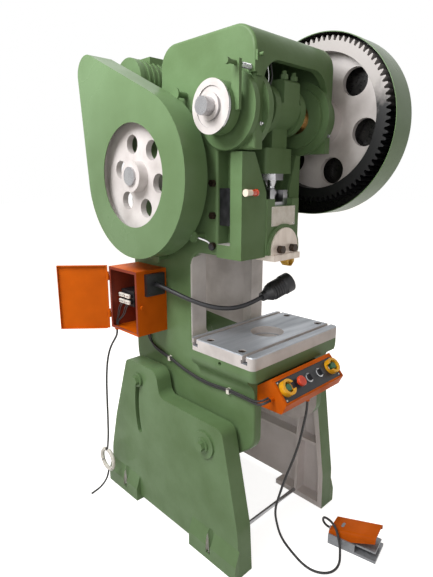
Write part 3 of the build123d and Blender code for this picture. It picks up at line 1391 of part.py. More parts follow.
neck_end = Vector(*neck_route[-1])
lamp_plane = Plane(origin=neck_end, z_dir=neck_end - Vector(*neck_route[-2]))
lamp_side = Plane(origin=neck_end, x_dir=lamp_plane.x_dir, z_dir=lamp_plane.y_dir * -1)
lamp_points = [(radius * lamp_wide, along * lamp_reach) for along, radius in lamp_profile_shares]

with BuildPart() as lamp_head:
    with BuildSketch(lamp_side):
        with BuildLine():
            Polyline((0, 0), *lamp_points, (0, lamp_reach), close=True)
        make_face()
    revolve(axis=Axis(neck_end, lamp_plane.z_dir))
    for rib in range(lamp_rib_count):
        start = lamp_rib_start + rib * lamp_rib_pitch
        post_on(lamp_plane, (start, start + lamp_rib_wide), 0, 0, lamp_rib)
    post_on(lamp_plane, (lamp_reach - lamp_mouth_depth, lamp_reach + overrun), 0, 0, lamp_wide - lamp_wall,
            Mode.SUBTRACT)
keep(lamp_head, "lamp_head")

# Cable from the electric box to the control panel, and its two clips
make_cord(panel_cable_route, panel_cable_radius, "panel_cable")

with BuildPart() as cable_clips:
    for x, y, z in (side_clip_place, bed_clip_place):
        span = (y - clip_half, y + clip_half)
        slab((x - clip_reach, -cheek_outer), span, (z - clip_reach - clip_flange, z + clip_reach + clip_flange))
        slab((x - clip_reach + clip_strap, x + clip_reach), (span[0] - overrun, span[1] + overrun),
             (z - clip_reach, z + clip_reach), Mode.SUBTRACT)
keep(cable_clips, "cable_clips")

# Control panel on the front of the bed
panel_points = [(cheek_front, panel_back_top), (panel_ridge_y, panel_ridge_z), (panel_lip_y, panel_lip_z),
                (panel_toe_y, panel_toe_z), (cheek_front, panel_back_low)]
panel_radii = [0.0, panel_round, panel_round, panel_round, 0.0]
fascia_half = panel_half - fascia_end
fascia_half_y = slope_length / 2 - fascia_margin
fascia_top = -panel_sheet

with BuildPart() as control_box:
    with BuildSketch(across(panel_mid - panel_half)):
        outline(panel_points, panel_radii)
    extrude(amount=2 * panel_half)
    with BuildSketch(across(panel_mid - panel_half + panel_sheet)):
        outline(panel_points, panel_radii)
        offset(amount=-panel_sheet, mode=Mode.REPLACE)
    extrude(amount=2 * (panel_half - panel_sheet), mode=Mode.SUBTRACT)
    slab_on(panel_slope, (-fascia_half, fascia_half), (-fascia_half_y, fascia_half_y), (-overrun, overrun),
            Mode.SUBTRACT)
    bar_z((panel_gland_low, panel_toe_z + panel_sheet), panel_mid, panel_gland_y, gland_radius)
    bar_x((panel_mid - panel_half - gland_length, panel_mid - panel_half), end_gland_y, end_gland_z, gland_radius)
keep(control_box, "control_box")

with BuildPart() as control_fascia:
    slab_on(panel_slope, (-fascia_half - fascia_grip, fascia_half + fascia_grip),
            (-fascia_half_y - fascia_grip, fascia_half_y + fascia_grip),
            (fascia_top - fascia_thick, fascia_top))
    for x in [-run_button_x, run_button_x] + selector_places:
        post_on(panel_slope, (fascia_top - fascia_thick - overrun, fascia_top + overrun), x, 0,
                button_stem + bolt_fit, Mode.SUBTRACT)
    post_on(panel_slope, (fascia_top - fascia_thick - overrun, fascia_top + overrun), stop_x, 0,
            stop_stem + bolt_fit, Mode.SUBTRACT)
keep(control_fascia, "control_fascia")

with BuildPart() as button_collars:
    for side in (-1, 1):
        post_on(panel_slope, (fascia_top, fascia_top + collar_height), side * run_button_x, 0, collar_outer)
        post_on(panel_slope, (fascia_top - overrun, fascia_top + collar_height + overrun),
                side * run_button_x, 0, collar_inner, Mode.SUBTRACT)
        slab_on(panel_slope, (side * run_button_x, side * (run_button_x - collar_outer - overrun)),
                (-collar_notch / 2, collar_notch / 2),
                (fascia_top + button_lift, fascia_top + collar_height + overrun), Mode.SUBTRACT)
keep(button_collars, "button_collars")


def make_button(x, cap, lift, height, stem, name):
    """Push button: a cap on a stem that passes through the fascia."""
    with BuildPart() as button:
        post_on(panel_slope, (fascia_top - button_stem_depth, fascia_top + lift), x, 0, stem)
        post_on(panel_slope, (fascia_top + lift, fascia_top + lift + height), x, 0, cap)
        chamfer(button.faces().sort_by(Axis(panel_slope.origin, panel_slope.z_dir))[-1].edges(), panel_sheet)
    keep(button, name)


def make_selector(x, name):
    """Selector switch: a round knob with a grip across it."""
    with BuildPart() as knob:
        post_on(panel_slope, (fascia_top - button_stem_depth, fascia_top + move_gap), x, 0, button_stem)
        post_on(panel_slope, (fascia_top + move_gap, fascia_top + selector_height), x, 0, selector_radius)
        slab_on(panel_slope, (x - selector_grip_half, x + selector_grip_half),
                (-selector_radius, selector_radius),
                (fascia_top + selector_height, fascia_top + selector_height + selector_grip_height))
    keep(knob, name)


make_button(-run_button_x, button_radius, button_lift, button_height, button_stem, "left_run_button")
make_button(run_button_x, button_radius, button_lift, button_height, button_stem, "right_run_button")
make_button(stop_x, stop_radius, stop_lift, stop_height, stop_stem, "emergency_stop")
make_selector(selector_places[0], "left_selector")
make_selector(selector_places[1], "right_selector")

# Foot switch on the floor
pedal_mid_z = pedal_z + pedal_thick / 2
pin_plane = Plane(origin=switch_plane.from_local_coords((0, pedal_pivot_y, pedal_mid_z)),
                  x_dir=switch_plane.y_dir, z_dir=switch_plane.x_dir)
cord_plane = Plane(origin=switch_plane.from_local_coords((0, switch_half_long, cord_height)),
                   x_dir=switch_plane.x_dir, z_dir=switch_plane.y_dir)
pin_reach = switch_half - switch_wall / 2

with BuildPart() as foot_switch_base:
    slab_on(switch_plane, (-switch_half, switch_half), (-switch_half_long, switch_half_long),
            (0, switch_floor))
    for side in (-1, 1):
        slab_on(switch_plane, (side * switch_half, side * (switch_half - switch_wall)),
                (switch_wall_front, switch_half_long), (0, switch_wall_height))
    slab_on(switch_plane, (-switch_half, switch_half), (switch_block_y, switch_half_long),
            (0, switch_block_height))
    post_on(cord_plane, (0, gland_length), 0, 0, gland_radius)
    post_on(pin_plane, (-pin_reach - move_gap, pin_reach + move_gap), 0, 0, pedal_pin + run_fit,
            Mode.SUBTRACT)
keep(foot_switch_base, "foot_switch_base")

with BuildPart() as foot_pedal:
    slab_on(switch_plane, (-pedal_half, pedal_half), (pedal_front, pedal_back),
            (pedal_z, pedal_z + pedal_thick))
    post_on(pin_plane, (-pin_reach, pin_reach), 0, 0, pedal_pin)
keep(foot_pedal, "foot_pedal")

hood_plane = Plane(origin=switch_plane.origin, x_dir=switch_plane.y_dir, z_dir=switch_plane.x_dir)


def hood_form(inset, front, low):
    """Body of the hood or its hollow: low at the back, rounded along its top."""
    half = hood_half - inset
    back = switch_half_long - inset
    points = [(hood_wall_front, low), (front, hood_height - hood_slope), (front, hood_height - inset),
              (hood_back_top - inset, hood_back_height - inset), (back, hood_heel - inset), (back, low)]
    top_run = hypot(hood_back_top - inset - front, hood_height - hood_back_height)
    with BuildPart() as form:
        with BuildSketch(hood_plane.offset(-half)):
            with BuildLine():
                Polyline(*points, close=True)
            make_face()
        extrude(amount=2 * half)
        fillet([edge for edge in form.edges() if abs(edge.length - top_run) < move_gap], hood_round - inset)
    return form.part


with BuildPart() as foot_switch_hood:
    add(hood_form(0, hood_front, switch_wall_height))
    add(hood_form(hood_sheet, hood_front - overrun, 0), mode=Mode.SUBTRACT)
keep(foot_switch_hood, "foot_switch_hood")

# Cords that lie free
make_cord(foot_cord_route, foot_cord_radius, "foot_cord")
make_cord(mains_route, mains_radius, "mains_cord")
make_cord(mains_tail_route, mains_radius, "mains_tail")

with BuildPart() as mains_hank:
    with Locations(across(hank_x, hank_y, hank_z).location):
        Torus(hank_radius, hank_tube)
keep(mains_hank, "mains_hank")
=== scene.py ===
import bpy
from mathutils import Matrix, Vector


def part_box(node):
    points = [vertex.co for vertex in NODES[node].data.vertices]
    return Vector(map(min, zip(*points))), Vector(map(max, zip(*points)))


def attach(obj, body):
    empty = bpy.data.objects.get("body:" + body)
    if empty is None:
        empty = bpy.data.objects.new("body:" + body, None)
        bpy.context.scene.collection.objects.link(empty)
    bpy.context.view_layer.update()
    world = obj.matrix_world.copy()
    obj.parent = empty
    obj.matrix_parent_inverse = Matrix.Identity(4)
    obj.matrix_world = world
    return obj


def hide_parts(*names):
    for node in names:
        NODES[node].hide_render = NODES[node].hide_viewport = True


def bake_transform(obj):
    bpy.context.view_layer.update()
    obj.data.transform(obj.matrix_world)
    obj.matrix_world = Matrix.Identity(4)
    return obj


bl_info = {
    "name": "Inclinable Power Press",
    "version": (1, 0, 0),
    "blender": (4, 5, 0),
    "location": "View3D > Sidebar > Press",
    "description": "Dresses a geared open-back press with enamel, bare steel, cords and small fittings",
    "category": "Object",
}

from math import cos, hypot, pi, radians, sin

import bmesh
import bpy
from bpy.props import FloatProperty, FloatVectorProperty, PointerProperty
from mathutils import Matrix, Vector

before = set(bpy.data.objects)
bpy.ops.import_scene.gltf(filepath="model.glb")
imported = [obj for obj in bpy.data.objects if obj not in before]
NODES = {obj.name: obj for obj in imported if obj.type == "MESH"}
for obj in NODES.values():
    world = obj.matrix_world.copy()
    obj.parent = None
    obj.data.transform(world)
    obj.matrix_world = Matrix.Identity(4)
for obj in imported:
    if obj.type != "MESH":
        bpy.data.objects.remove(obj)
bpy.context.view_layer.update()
MM = 0.001
WHITE = (1.0, 1.0, 1.0, 1.0)

# Places and sizes on the press by which faces get their finish, in millimetres
CRANK_AXIS = (-304, 1768)
CRANK_CHEEK, JOURNAL_RADIUS = 96, 62
HUB_RADIUS = 34
GEAR_RIM, GUARD_BACK = 270, 340
CHEEK_OUTSIDE, CHEEK_INSIDE = 229, 205
BED_UNDERSIDE = 720
THROAT_HEIGHT, THROAT_FRONT = (864, 1300), (-100, -30)
GIB_STRIP = (-176, -320, 1290)
BOX_EDGE, BOX_BACK, BOX_WIDTH, BOX_HEIGHT = 6, -232, (82, 284), (888, 1160)

# Places where the dressing adds its own pieces, in millimetres and degrees
DOOR_HINGE = (-389.6, 290.6)
PANEL_RIDGE, PANEL_LIP = (-505, 828), (-577, 748)
FOOT_SWITCH, FOOT_SWITCH_TURN = (166, -688, 0), 11


def linear(code):
    """Linear colour with full alpha from an sRGB hex value."""
    channels = [int(code[i:i + 2], 16) / 255 for i in (1, 3, 5)]
    return tuple(c / 12.92 if c <= 0.04045 else ((c + 0.055) / 1.055) ** 2.4 for c in channels) + (1.0,)


def colour(code, name, words):
    """Colour property with an sRGB hex default."""
    return FloatVectorProperty(name=name, description=words, subtype="COLOR", size=4, min=0, max=1,
                               default=linear(code))


def length(value, name, words):
    """Length property with its default in millimetres."""
    return FloatProperty(name=name, description=words, subtype="DISTANCE", unit="LENGTH", default=value * MM)


class PressPaint(bpy.types.PropertyGroup):
    """Colours of the press."""
    green: colour("#66805A", "Green", "Enamel on the castings and guards")
    green_shade: colour("#5A724C", "Green shade", "Darker patches in the green enamel")
    grey: colour("#D2CDCC", "Pale grey", "Enamel on the gear, flywheel and inner faces")
    grey_shade: colour("#B4AEAC", "Pale grey shade", "Darker patches in the pale enamel")
    orange: colour("#C55A06", "Orange", "Enamel on the electric boxes")
    orange_shade: colour("#B04E03", "Orange shade", "Darker patches in the orange enamel")
    hollow: colour("#E0DBDB", "Hollow", "Pale coat in the legs' hollows")
    box_inside: colour("#7A2A10", "Box inside", "Thin red-brown coat inside the electric box")
    steel: colour("#B9B9BA", "Bare steel", "Turned shafts, screws and small fittings")
    bolster: colour("#ACB1B8", "Bolster steel", "Ground top of the bolster plate")
    dark: colour("#2B2420", "Dark steel", "Blackened fasteners")
    bronze: colour("#A8824C", "Bronze", "Shaft bushes")
    black: colour("#17171A", "Black", "Moulded plastic")
    yellow: colour("#E4A81C", "Yellow", "Button collars")
    red: colour("#D2451E", "Red", "Emergency stop and oil sight")
    button: colour("#2A6A44", "Button green", "Run buttons")
    switch: colour("#808388", "Switch grey", "Foot switch base and pedal")
    wrap: colour("#DAD8D2", "Wrap", "Pale tape round the tied mains cord")


class PressSizes(bpy.types.PropertyGroup):
    """Sizes that the dressing adds to the frame's own."""
    foot_cord: length(10, "Foot cord", "Diameter of the foot switch cord")
    mains_cord: length(9, "Mains cord", "Diameter of the mains cord")
    spring_wire: length(2.4, "Spring wire", "Wire of the brake spring")
    oil_tube: length(5, "Oil tube", "Diameter of the oil tubes")


class PressStage(bpy.types.PropertyGroup):
    """Camera and light."""
    lens: FloatProperty(name="Lens", description="Focal length in millimetres", default=28.9)
    azimuth: FloatProperty(name="Azimuth", description="Turn of the camera about the vertical", subtype="ANGLE",
                           default=radians(-44.27))
    tilt: FloatProperty(name="Tilt", description="How far the camera looks down", subtype="ANGLE",
                        default=radians(13.19))
    place: FloatVectorProperty(name="Place", description="Where the camera stands", subtype="XYZ", unit="LENGTH",
                               default=(-1.447, -1.484, 1.532))
    ambient: FloatProperty(name="Ambient", description="Strength of the even light", default=0.38)
    shade: colour("#FFF0E0", "Shade", "Tint of the even light")
    key: FloatProperty(name="Key", description="Power of the main soft light in watts", default=78)
    rear: FloatProperty(name="Rear", description="Power of the light from the back right in watts", default=70)
    fill: FloatProperty(name="Fill", description="Power of the light from the front left in watts", default=24)


def add_node(tree, kind, inputs=(), **settings):
    """Add a node, set its properties, and set or link its inputs."""
    node = tree.nodes.new(kind)
    for name, value in settings.items():
        setattr(node, name, value)
    for name, value in inputs:
        if isinstance(value, bpy.types.NodeSocket):
            tree.links.new(value, node.inputs[name])
        else:
            node.inputs[name].default_value = value
    return node


def new_material(name):
    """Empty material with its shader, its output and its object coordinates."""
    material = bpy.data.materials.new(name)
    material.use_nodes = True
    tree = material.node_tree
    tree.nodes.clear()
    shader = add_node(tree, "ShaderNodeBsdfPrincipled")
    add_node(tree, "ShaderNodeOutputMaterial", [("Surface", shader.outputs["BSDF"])])
    place = add_node(tree, "ShaderNodeTexCoord").outputs["Object"]
    return material, tree, shader, place


def background_rays(tree):
    """1 where the camera, a reflection or a clear piece looks at the background, and 0 elsewhere."""
    rays = add_node(tree, "ShaderNodeLightPath").outputs
    seen = rays["Is Camera Ray"]
    for kind in ("Is Glossy Ray", "Is Transmission Ray"):
        seen = add_node(tree, "ShaderNodeMath", [(0, seen), (1, rays[kind])], operation="MAXIMUM").outputs["Value"]
    return seen


def coat_of(name, base, shade, patch, grain, relief, rough, metallic=0.0, gloss=0.0, stretch=(1, 1, 1), shine=0.5):
    """Surface with soft patches of two colours, uneven gloss and a fine relief. Patch, grain and relief are in
    millimetres, gloss is the weight of a clear coat, shine the specular level, and stretch draws the pattern out."""
    material, tree, shader, place = new_material(name)
    drawn = add_node(tree, "ShaderNodeMapping", [("Vector", place), ("Scale", stretch)]).outputs["Vector"]
    patches = add_node(tree, "ShaderNodeTexNoise", [("Vector", drawn), ("Scale", 1 / (patch * MM)), ("Detail", 4.0)])
    share = add_node(tree, "ShaderNodeMapRange", [("Value", patches.outputs["Fac"]), ("From Min", 0.35),
                                                  ("From Max", 0.7)])
    mixed = add_node(tree, "ShaderNodeMix", [("Factor", share.outputs["Result"]), ("A", base), ("B", shade)],
                     data_type="RGBA")
    tree.links.new(mixed.outputs["Result"], shader.inputs["Base Color"])
    grains = add_node(tree, "ShaderNodeTexNoise", [("Vector", drawn), ("Scale", 1 / (grain * MM)), ("Detail", 3.0)])
    gloss_range = add_node(tree, "ShaderNodeMapRange", [("Value", patches.outputs["Fac"]), ("From Min", 0.3),
                                                        ("From Max", 0.7), ("To Min", rough * 0.8),
                                                        ("To Max", min(1.0, rough * 1.25))])
    tree.links.new(gloss_range.outputs["Result"], shader.inputs["Roughness"])
    bump = add_node(tree, "ShaderNodeBump", [("Height", grains.outputs["Fac"]), ("Distance", relief * MM),
                                             ("Strength", 0.6)])
    tree.links.new(bump.outputs["Normal"], shader.inputs["Normal"])
    shader.inputs["Metallic"].default_value = metallic
    shader.inputs["Coat Weight"].default_value = gloss
    shader.inputs["Specular IOR Level"].default_value = shine
    return material


def green_enamel(paint):
    """Brushed enamel on cast iron: soft lumps from the sand mould under a satin skin, with darker patches."""
    return coat_of("enamel_on_cast_iron_green", paint.green, paint.green_shade,
                   patch=170, grain=24, relief=1.2, rough=0.36, shine=0.14)


def green_sheet_enamel(paint):
    """Sprayed enamel on rolled sheet: flatter and a little glossier than the castings, with a fine orange peel."""
    return coat_of("enamel_on_sheet_steel_green", paint.green, paint.green_shade,
                   patch=260, grain=6, relief=0.25, rough=0.32, gloss=0.05, shine=0.22)


def grey_enamel(paint):
    """Thin pale enamel on machined iron: chalky, with handling marks about a hand wide."""
    return coat_of("enamel_on_iron_pale_grey", paint.grey, paint.grey_shade,
                   patch=110, grain=12, relief=0.5, rough=0.42, gloss=0.1)


def hollow_enamel(paint):
    """Thin pale coat brushed into the legs' hollows: chalky and uneven, with the sand mould's lumps showing."""
    return coat_of("enamel_in_casting_pale", paint.hollow, paint.grey,
                   patch=140, grain=22, relief=1.0, rough=0.5, shine=0.25)


def orange_enamel(paint):
    """Powder enamel on folded sheet: even colour, satin, with an orange peel about 3 mm across."""
    return coat_of("powder_enamel_orange", paint.orange, paint.orange_shade,
                   patch=140, grain=3.5, relief=0.2, rough=0.5, shine=0.1)


def box_inside_enamel(paint):
    """Red-brown primer left inside the box: thin and dull, with dust."""
    return coat_of("primer_red_brown", paint.box_inside, linear("#6A2210"),
                   patch=70, grain=5, relief=0.2, rough=0.6)


def turned_steel(paint):
    """Turned steel under a film of oil: bright, with fine streaks and some dull spots."""
    return coat_of("turned_steel", paint.steel, linear("#98979A"),
                   patch=60, grain=2.5, relief=0.05, rough=0.27, metallic=1.0, stretch=(0.35, 1, 1))


def ground_steel(paint):
    """Ground and handled steel plate: dull grey with long scratches along X, drawn 3 mm apart to show."""
    return coat_of("ground_steel", paint.bolster, linear("#8E939A"),
                   patch=45, grain=3, relief=0.08, rough=0.42, metallic=0.6, stretch=(0.12, 1, 1))


def steel_painted_reflection(paint):
    """Machined steel with a painted reflection: almost white, with faint tool marks about 2 mm apart."""
    return coat_of("steel_with_painted_reflection", linear("#F2E8DF"), linear("#DACEC4"),
                   patch=40, grain=2, relief=0.05, rough=0.38, metallic=0.25, stretch=(1, 1, 0.3))


def black_oxide_steel(paint):
    """Blackened steel: nearly black, satin, with brown rubbed spots a few millimetres across."""
    return coat_of("black_oxide_steel", paint.dark, linear("#4A3A2E"),
                   patch=9, grain=2, relief=0.06, rough=0.4, metallic=0.6)


def guard_inside_black(paint):
    """Black on the gear guard's sheet inside: glossy and lumpy, in dabs about 10 mm across."""
    return coat_of("guard_inner_faces_black", linear("#131315"), linear("#1E1C1A"),
                   patch=14, grain=8, relief=0.8, rough=0.3)


def rim_greasy_and_painted_shade(paint):
    """Gear rim black up to about its middle, thinning to pale enamel above: partly greasy, partly painted shade."""
    material, tree, shader, place = new_material("gear_rim_greasy_and_painted_shade")
    height = add_node(tree, "ShaderNodeSeparateXYZ", [("Vector", place)]).outputs["Z"]
    dabs = add_node(tree, "ShaderNodeTexNoise", [("Vector", place), ("Scale", 1 / (30 * MM)), ("Detail", 4.0)])
    ragged = add_node(tree, "ShaderNodeMath", [(0, dabs.outputs["Fac"]), (1, 120 * MM), (2, height)],
                      operation="MULTIPLY_ADD")
    low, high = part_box("drive_gear")
    middle = (low.z + high.z) / 2
    # Darker towards the bottom: the black under the middle is partly greasy and partly painted shade
    share = add_node(tree, "ShaderNodeMapRange", [("Value", ragged.outputs["Value"]), ("From Min", middle + 0.08),
                                                  ("From Max", middle + 0.19)])
    mixed = add_node(tree, "ShaderNodeMix", [("Factor", share.outputs["Result"]), ("A", linear("#141416")),
                                             ("B", linear("#A9A4A2"))], data_type="RGBA")
    tree.links.new(mixed.outputs["Result"], shader.inputs["Base Color"])
    shader.inputs["Roughness"].default_value = 0.38
    return material


def bush_bronze(paint):
    """Bored bronze: warm, satin, with tarnish in soft patches."""
    return coat_of("bearing_bronze", paint.bronze, linear("#8A6638"),
                   patch=30, grain=2, relief=0.04, rough=0.32, metallic=1.0)


def moulded_black(paint):
    """Moulded black phenolic: low sheen with a fine mould grain."""
    return coat_of("moulded_phenolic_black", paint.black, linear("#222226"),
                   patch=25, grain=2, relief=0.05, rough=0.42)


def cord_rubber(paint):
    """Extruded rubber sheath: soft black, dusty along its length."""
    return coat_of("rubber_sheath_black", linear("#1B1B1D"), linear("#2C2B2B"),
                   patch=40, grain=4, relief=0.1, rough=0.58)


def belt_rubber(paint):
    """Wrapped V-belt: matt black cloth skin with a weave drawn 3 mm wide to show."""
    return coat_of("belt_rubber_black", linear("#1D1C1C"), linear("#2F2C2A"),
                   patch=20, grain=3, relief=0.2, rough=0.75)


def moulded_yellow(paint):
    """Moulded yellow ABS: even and glossy, a little scuffed."""
    return coat_of("moulded_abs_yellow", paint.yellow, linear("#D09410"),
                   patch=35, grain=3, relief=0.05, rough=0.32)


def moulded_red(paint):
    """Moulded red ABS: even and glossy."""
    return coat_of("moulded_abs_red", paint.red, linear("#B82E14"),
                   patch=30, grain=3, relief=0.05, rough=0.3)


def moulded_green(paint):
    """Moulded green ABS: even and glossy."""
    return coat_of("moulded_abs_green", paint.button, linear("#1F5634"),
                   patch=30, grain=3, relief=0.05, rough=0.3)


def moulded_white(paint):
    """Moulded white nylon: slightly yellow, low sheen."""
    return coat_of("moulded_nylon_white", linear("#E6E3DC"), linear("#D5D0C6"),
                   patch=20, grain=2, relief=0.04, rough=0.45)


def hammered_grey(paint):
    """Hammered grey paint on die-cast aluminium: small round dimples about 4 mm across."""
    return coat_of("hammered_paint_grey", paint.switch, linear("#8E9196"),
                   patch=8, grain=4, relief=0.4, rough=0.34, metallic=0.3)


def wrap_tape(paint):
    """Clear-white tape wound on a cord: pale, crinkled, glossy."""
    return coat_of("tape_pale", paint.wrap, linear("#BDB9B0"),
                   patch=12, grain=3, relief=0.5, rough=0.3)


def amber_urethane(paint):
    """Cast urethane block: amber yellow, waxy."""
    return coat_of("cast_urethane_amber", linear("#D9B04A"), linear("#BE8E2C"),
                   patch=30, grain=4, relief=0.1, rough=0.4)


def sight_glass(paint):
    """Oil sight: clear acrylic over red oil, so one half of its length reads red and the other pale."""
    material, tree, shader, place = new_material("acrylic_oil_sight")
    along = add_node(tree, "ShaderNodeSeparateXYZ", [("Vector", place)]).outputs["X"]
    low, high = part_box("oil_sight")
    middle = (low.x + high.x) / 2
    ramp = add_node(tree, "ShaderNodeMapRange", [("Value", along), ("From Min", middle - 0.002),
                                                 ("From Max", middle + 0.002)])
    mixed = add_node(tree, "ShaderNodeMix", [("Factor", ramp.outputs["Result"]), ("A", linear("#E8D9C8")),
                                             ("B", paint.red)], data_type="RGBA")
    tree.links.new(mixed.outputs["Result"], shader.inputs["Base Color"])
    shader.inputs["Roughness"].default_value = 0.12
    shader.inputs["Coat Weight"].default_value = 0.5
    return material


FINISHES = {
    "green": green_enamel, "green_sheet": green_sheet_enamel, "grey": grey_enamel, "hollow": hollow_enamel,
    "orange": orange_enamel, "primer": box_inside_enamel, "steel": turned_steel, "ground": ground_steel,
    "bright": steel_painted_reflection, "oxide": black_oxide_steel, "bronze": bush_bronze, "black": moulded_black,
    "cord": cord_rubber, "belt": belt_rubber, "yellow": moulded_yellow, "red": moulded_red,
    "button": moulded_green, "white": moulded_white, "hammered": hammered_grey, "tape": wrap_tape,
    "amber": amber_urethane, "sight": sight_glass, "guard_inside_dark": guard_inside_black, "rim_greasy_and_painted_shade": rim_greasy_and_painted_shade,
}
MADE = {}


def finish_of(kind):
    """Material for a finish, made once."""
    if kind not in MADE:
        MADE[kind] = FINISHES[kind](bpy.context.scene.press_paint)
    return MADE[kind]


def dress(nodes, kind, second=None, choose=None):
    """Give CAD nodes a finish, and a second one on the faces that choose(centre, normal) picks."""
    for name in nodes:
        mesh = NODES[name].data
        mesh.materials.clear()
        mesh.materials.append(finish_of(kind))
        if second:
            mesh.materials.append(finish_of(second))
            for face in mesh.polygons:
                face.material_index = int(choose(face.center / MM, face.normal))


def side_of(axis):
    """Unit axis and two unit directions square to it, the second pointing up where it can."""
    axis = Vector(axis).normalized()
    up = Vector((0, 0, 1)) if abs(axis.z) < 0.9 else Vector((0, 1, 0))
    side = up.cross(axis).normalized()
    return axis, side, axis.cross(side)


def add_turned(bm, origin, axis, profile, steps=24):
    """Add a turned shape. The profile is (radius, height) in millimetres along the axis, poles where it is 0."""
    axis, side, up = side_of(axis)
    origin = Vector(origin) * MM
    rings = []
    for radius, height in profile:
        centre = origin + axis * height * MM
        if radius == 0:
            rings.append([bm.verts.new(centre)])
        else:
            rings.append([bm.verts.new(centre + (side * cos(2 * pi * i / steps) + up * sin(2 * pi * i / steps))
                                       * radius * MM) for i in range(steps)])
    for low, high in zip(rings, rings[1:]):
        for i in range(steps):
            j = (i + 1) % steps
            corner = [low[i % len(low)], low[j % len(low)], high[j % len(high)], high[i % len(high)]]
            bm.faces.new(list(dict.fromkeys(corner)))


def add_prism(bm, origin, axis, outline, depth, edge=0.0, side=None):
    """Add a straight shape on an outline of (across, up) in millimetres, with its far edge broken by edge."""
    axis, across, up = side_of(axis)
    if side is not None:
        across = Vector(side).normalized()
        up = axis.cross(across)
    origin = Vector(origin) * MM
    reach = max(hypot(*point) for point in outline)
    rows = [(0.0, 1.0), (depth - edge, 1.0)] + ([(depth, 1 - edge / reach)] if edge else [])
    rings = [[bm.verts.new(origin + (across * u * share + up * v * share + axis * height) * MM)
              for u, v in outline] for height, share in rows]
    bm.faces.new(list(reversed(rings[0])))
    bm.faces.new(rings[-1])
    for low, high in zip(rings, rings[1:]):
        for i in range(len(outline)):
            j = (i + 1) % len(outline)
            bm.faces.new((low[i], low[j], high[j], high[i]))


def rounded(width, height, radius, steps=5):
    """Outline of a plate with rounded corners."""
    points = []
    for turn, (sx, sy) in enumerate(((1, 1), (-1, 1), (-1, -1), (1, -1))):
        for i in range(steps + 1):
            angle = pi / 2 * (turn + i / steps)
            points.append((sx * (width / 2 - radius) + radius * cos(angle),
                           sy * (height / 2 - radius) + radius * sin(angle)))
    return points


def add_screw(bm, origin, axis, radius, height):
    """Add a cheese-head screw with a broken edge."""
    profile = [(0, 0), (radius, 0), (radius, height * 0.75), (radius * 0.82, height), (0, height)]
    add_turned(bm, origin, axis, profile, 20)


def piece(name, bm, body, kind, sharp=32):
    """Turn a bmesh into a piece that rides on a body."""
    bmesh.ops.recalc_face_normals(bm, faces=bm.faces)
    mesh = bpy.data.meshes.new(name)
    bm.to_mesh(mesh)
    bm.free()
    mesh.shade_smooth()
    mesh.set_sharp_from_angle(angle=radians(sharp))
    mesh.materials.append(finish_of(kind))
    obj = bpy.data.objects.new(name, mesh)
    bpy.context.collection.objects.link(obj)
    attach(obj, body)
    return obj


def route_line(name, points, resolution=8):
    """Bare curve object on one NURBS spline with the control points, in millimetres."""
    curve = bpy.data.curves.new(name, "CURVE")
    curve.dimensions = "3D"
    curve.resolution_u = resolution
    curve.use_fill_caps = True
    spline = curve.splines.new("NURBS")
    spline.points.add(len(points) - 1)
    for point, place in zip(spline.points, points):
        point.co = (*(Vector(place) * MM), 1.0)
    spline.order_u = 3
    spline.use_endpoint_u = True
    return bpy.data.objects.new(name, curve)


def thick_line(line, radius, kind, sides=4):
    """Round tube as a mesh, in place of its bare curve object."""
    name, curve = line.name, line.data
    curve.bevel_depth = radius * MM
    curve.bevel_resolution = sides
    curve.materials.append(finish_of(kind))
    mesh = bpy.data.meshes.new_from_object(line)
    bpy.data.objects.remove(line)
    mesh.shade_smooth()
    obj = bpy.data.objects.new(name, mesh)
    bpy.context.collection.objects.link(obj)
    return obj


def tube(name, points, radius, body, kind, resolution=8, sides=4):
    """Smooth round tube that rides on a body."""
    obj = thick_line(route_line(name, points, resolution), radius, kind, sides)
    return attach(obj, body)


def hung_cord(name, points, diameter):
    """Cord along points in millimetres, with its place baked into the mesh. Gives the cord and the points of its
    centreline in metres."""
    line = route_line(name, points)
    bare = bpy.data.meshes.new_from_object(line)
    path = [tuple(vertex.co) for vertex in bare.vertices]
    bpy.data.meshes.remove(bare)
    obj = thick_line(line, diameter / MM / 2, "cord")
    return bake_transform(obj), path


FOOT_ROUTE = (
    (-24, -536, 688), (-24, -536, 664), (-26, -535, 636), (-35, -532, 590), (-42, -526, 535), (-50, -517, 480),
    (-63, -506, 425), (-77, -493, 370), (-83, -478, 315), (-81, -462, 262), (-77, -446, 210), (-70, -432, 160),
    (-58, -425, 112), (-46, -426, 68), (-44, -437, 34), (-48, -459, 13), (-58, -492, 6), (-75, -540, 6),
    (-90, -595, 6), (-90, -640, 6), (-72, -677, 6), (-42, -700, 6), (-5, -704, 6), (30, -694, 6), (58, -678, 6),
    (86.3, -660.7, 12), (90.1, -653.9, 34), (89.5, -645.8, 62), (92.2, -633.1, 88), (98.2, -611.5, 101),
    (105.4, -585.7, 101), (115.9, -561.2, 90), (128.3, -546.6, 70), (135.8, -543.1, 48), (140.8, -558.4, 30),
    (143.81, -573.84, 30),
)
MAINS_ROUTE = (
    (-365, 275, 870), (-365, 275, 848), (-374, 281, 826), (-389, 288, 800), (-401, 295, 765), (-408, 302, 720),
    (-411, 309, 665), (-411, 316, 605), (-408, 324, 545), (-404, 333, 485), (-399, 343, 425), (-394, 355, 365),
    (-389, 367, 310), (-386, 379, 262), (-384.5, 389, 223),
)
TAIL_ROUTE = (
    (-384, 392, 97), (-389, 391, 76), (-398, 392, 54), (-412, 395, 34), (-432, 398, 18), (-456, 400, 9),
    (-483, 400, 5),
)
PANEL_ROUTE = (
    (-239, 216, 868), (-239, 215, 838), (-239, 204, 812), (-239, 176, 792), (-239, 132, 778), (-239, 95, 771),
    (-240, 56, 765), (-240, 10, 753), (-240, -40, 740), (-240, -98, 730), (-240, -145, 724), (-240, -195, 722),
    (-240, -250, 725), (-240, -310, 731), (-240, -365, 731), (-243, -410, 732), (-250, -446, 736), (-258, -474, 743),
    (-258, -494, 752), (-246, -505, 758), (-232, -507, 760),
)
HANK = (-384, 392, 160)
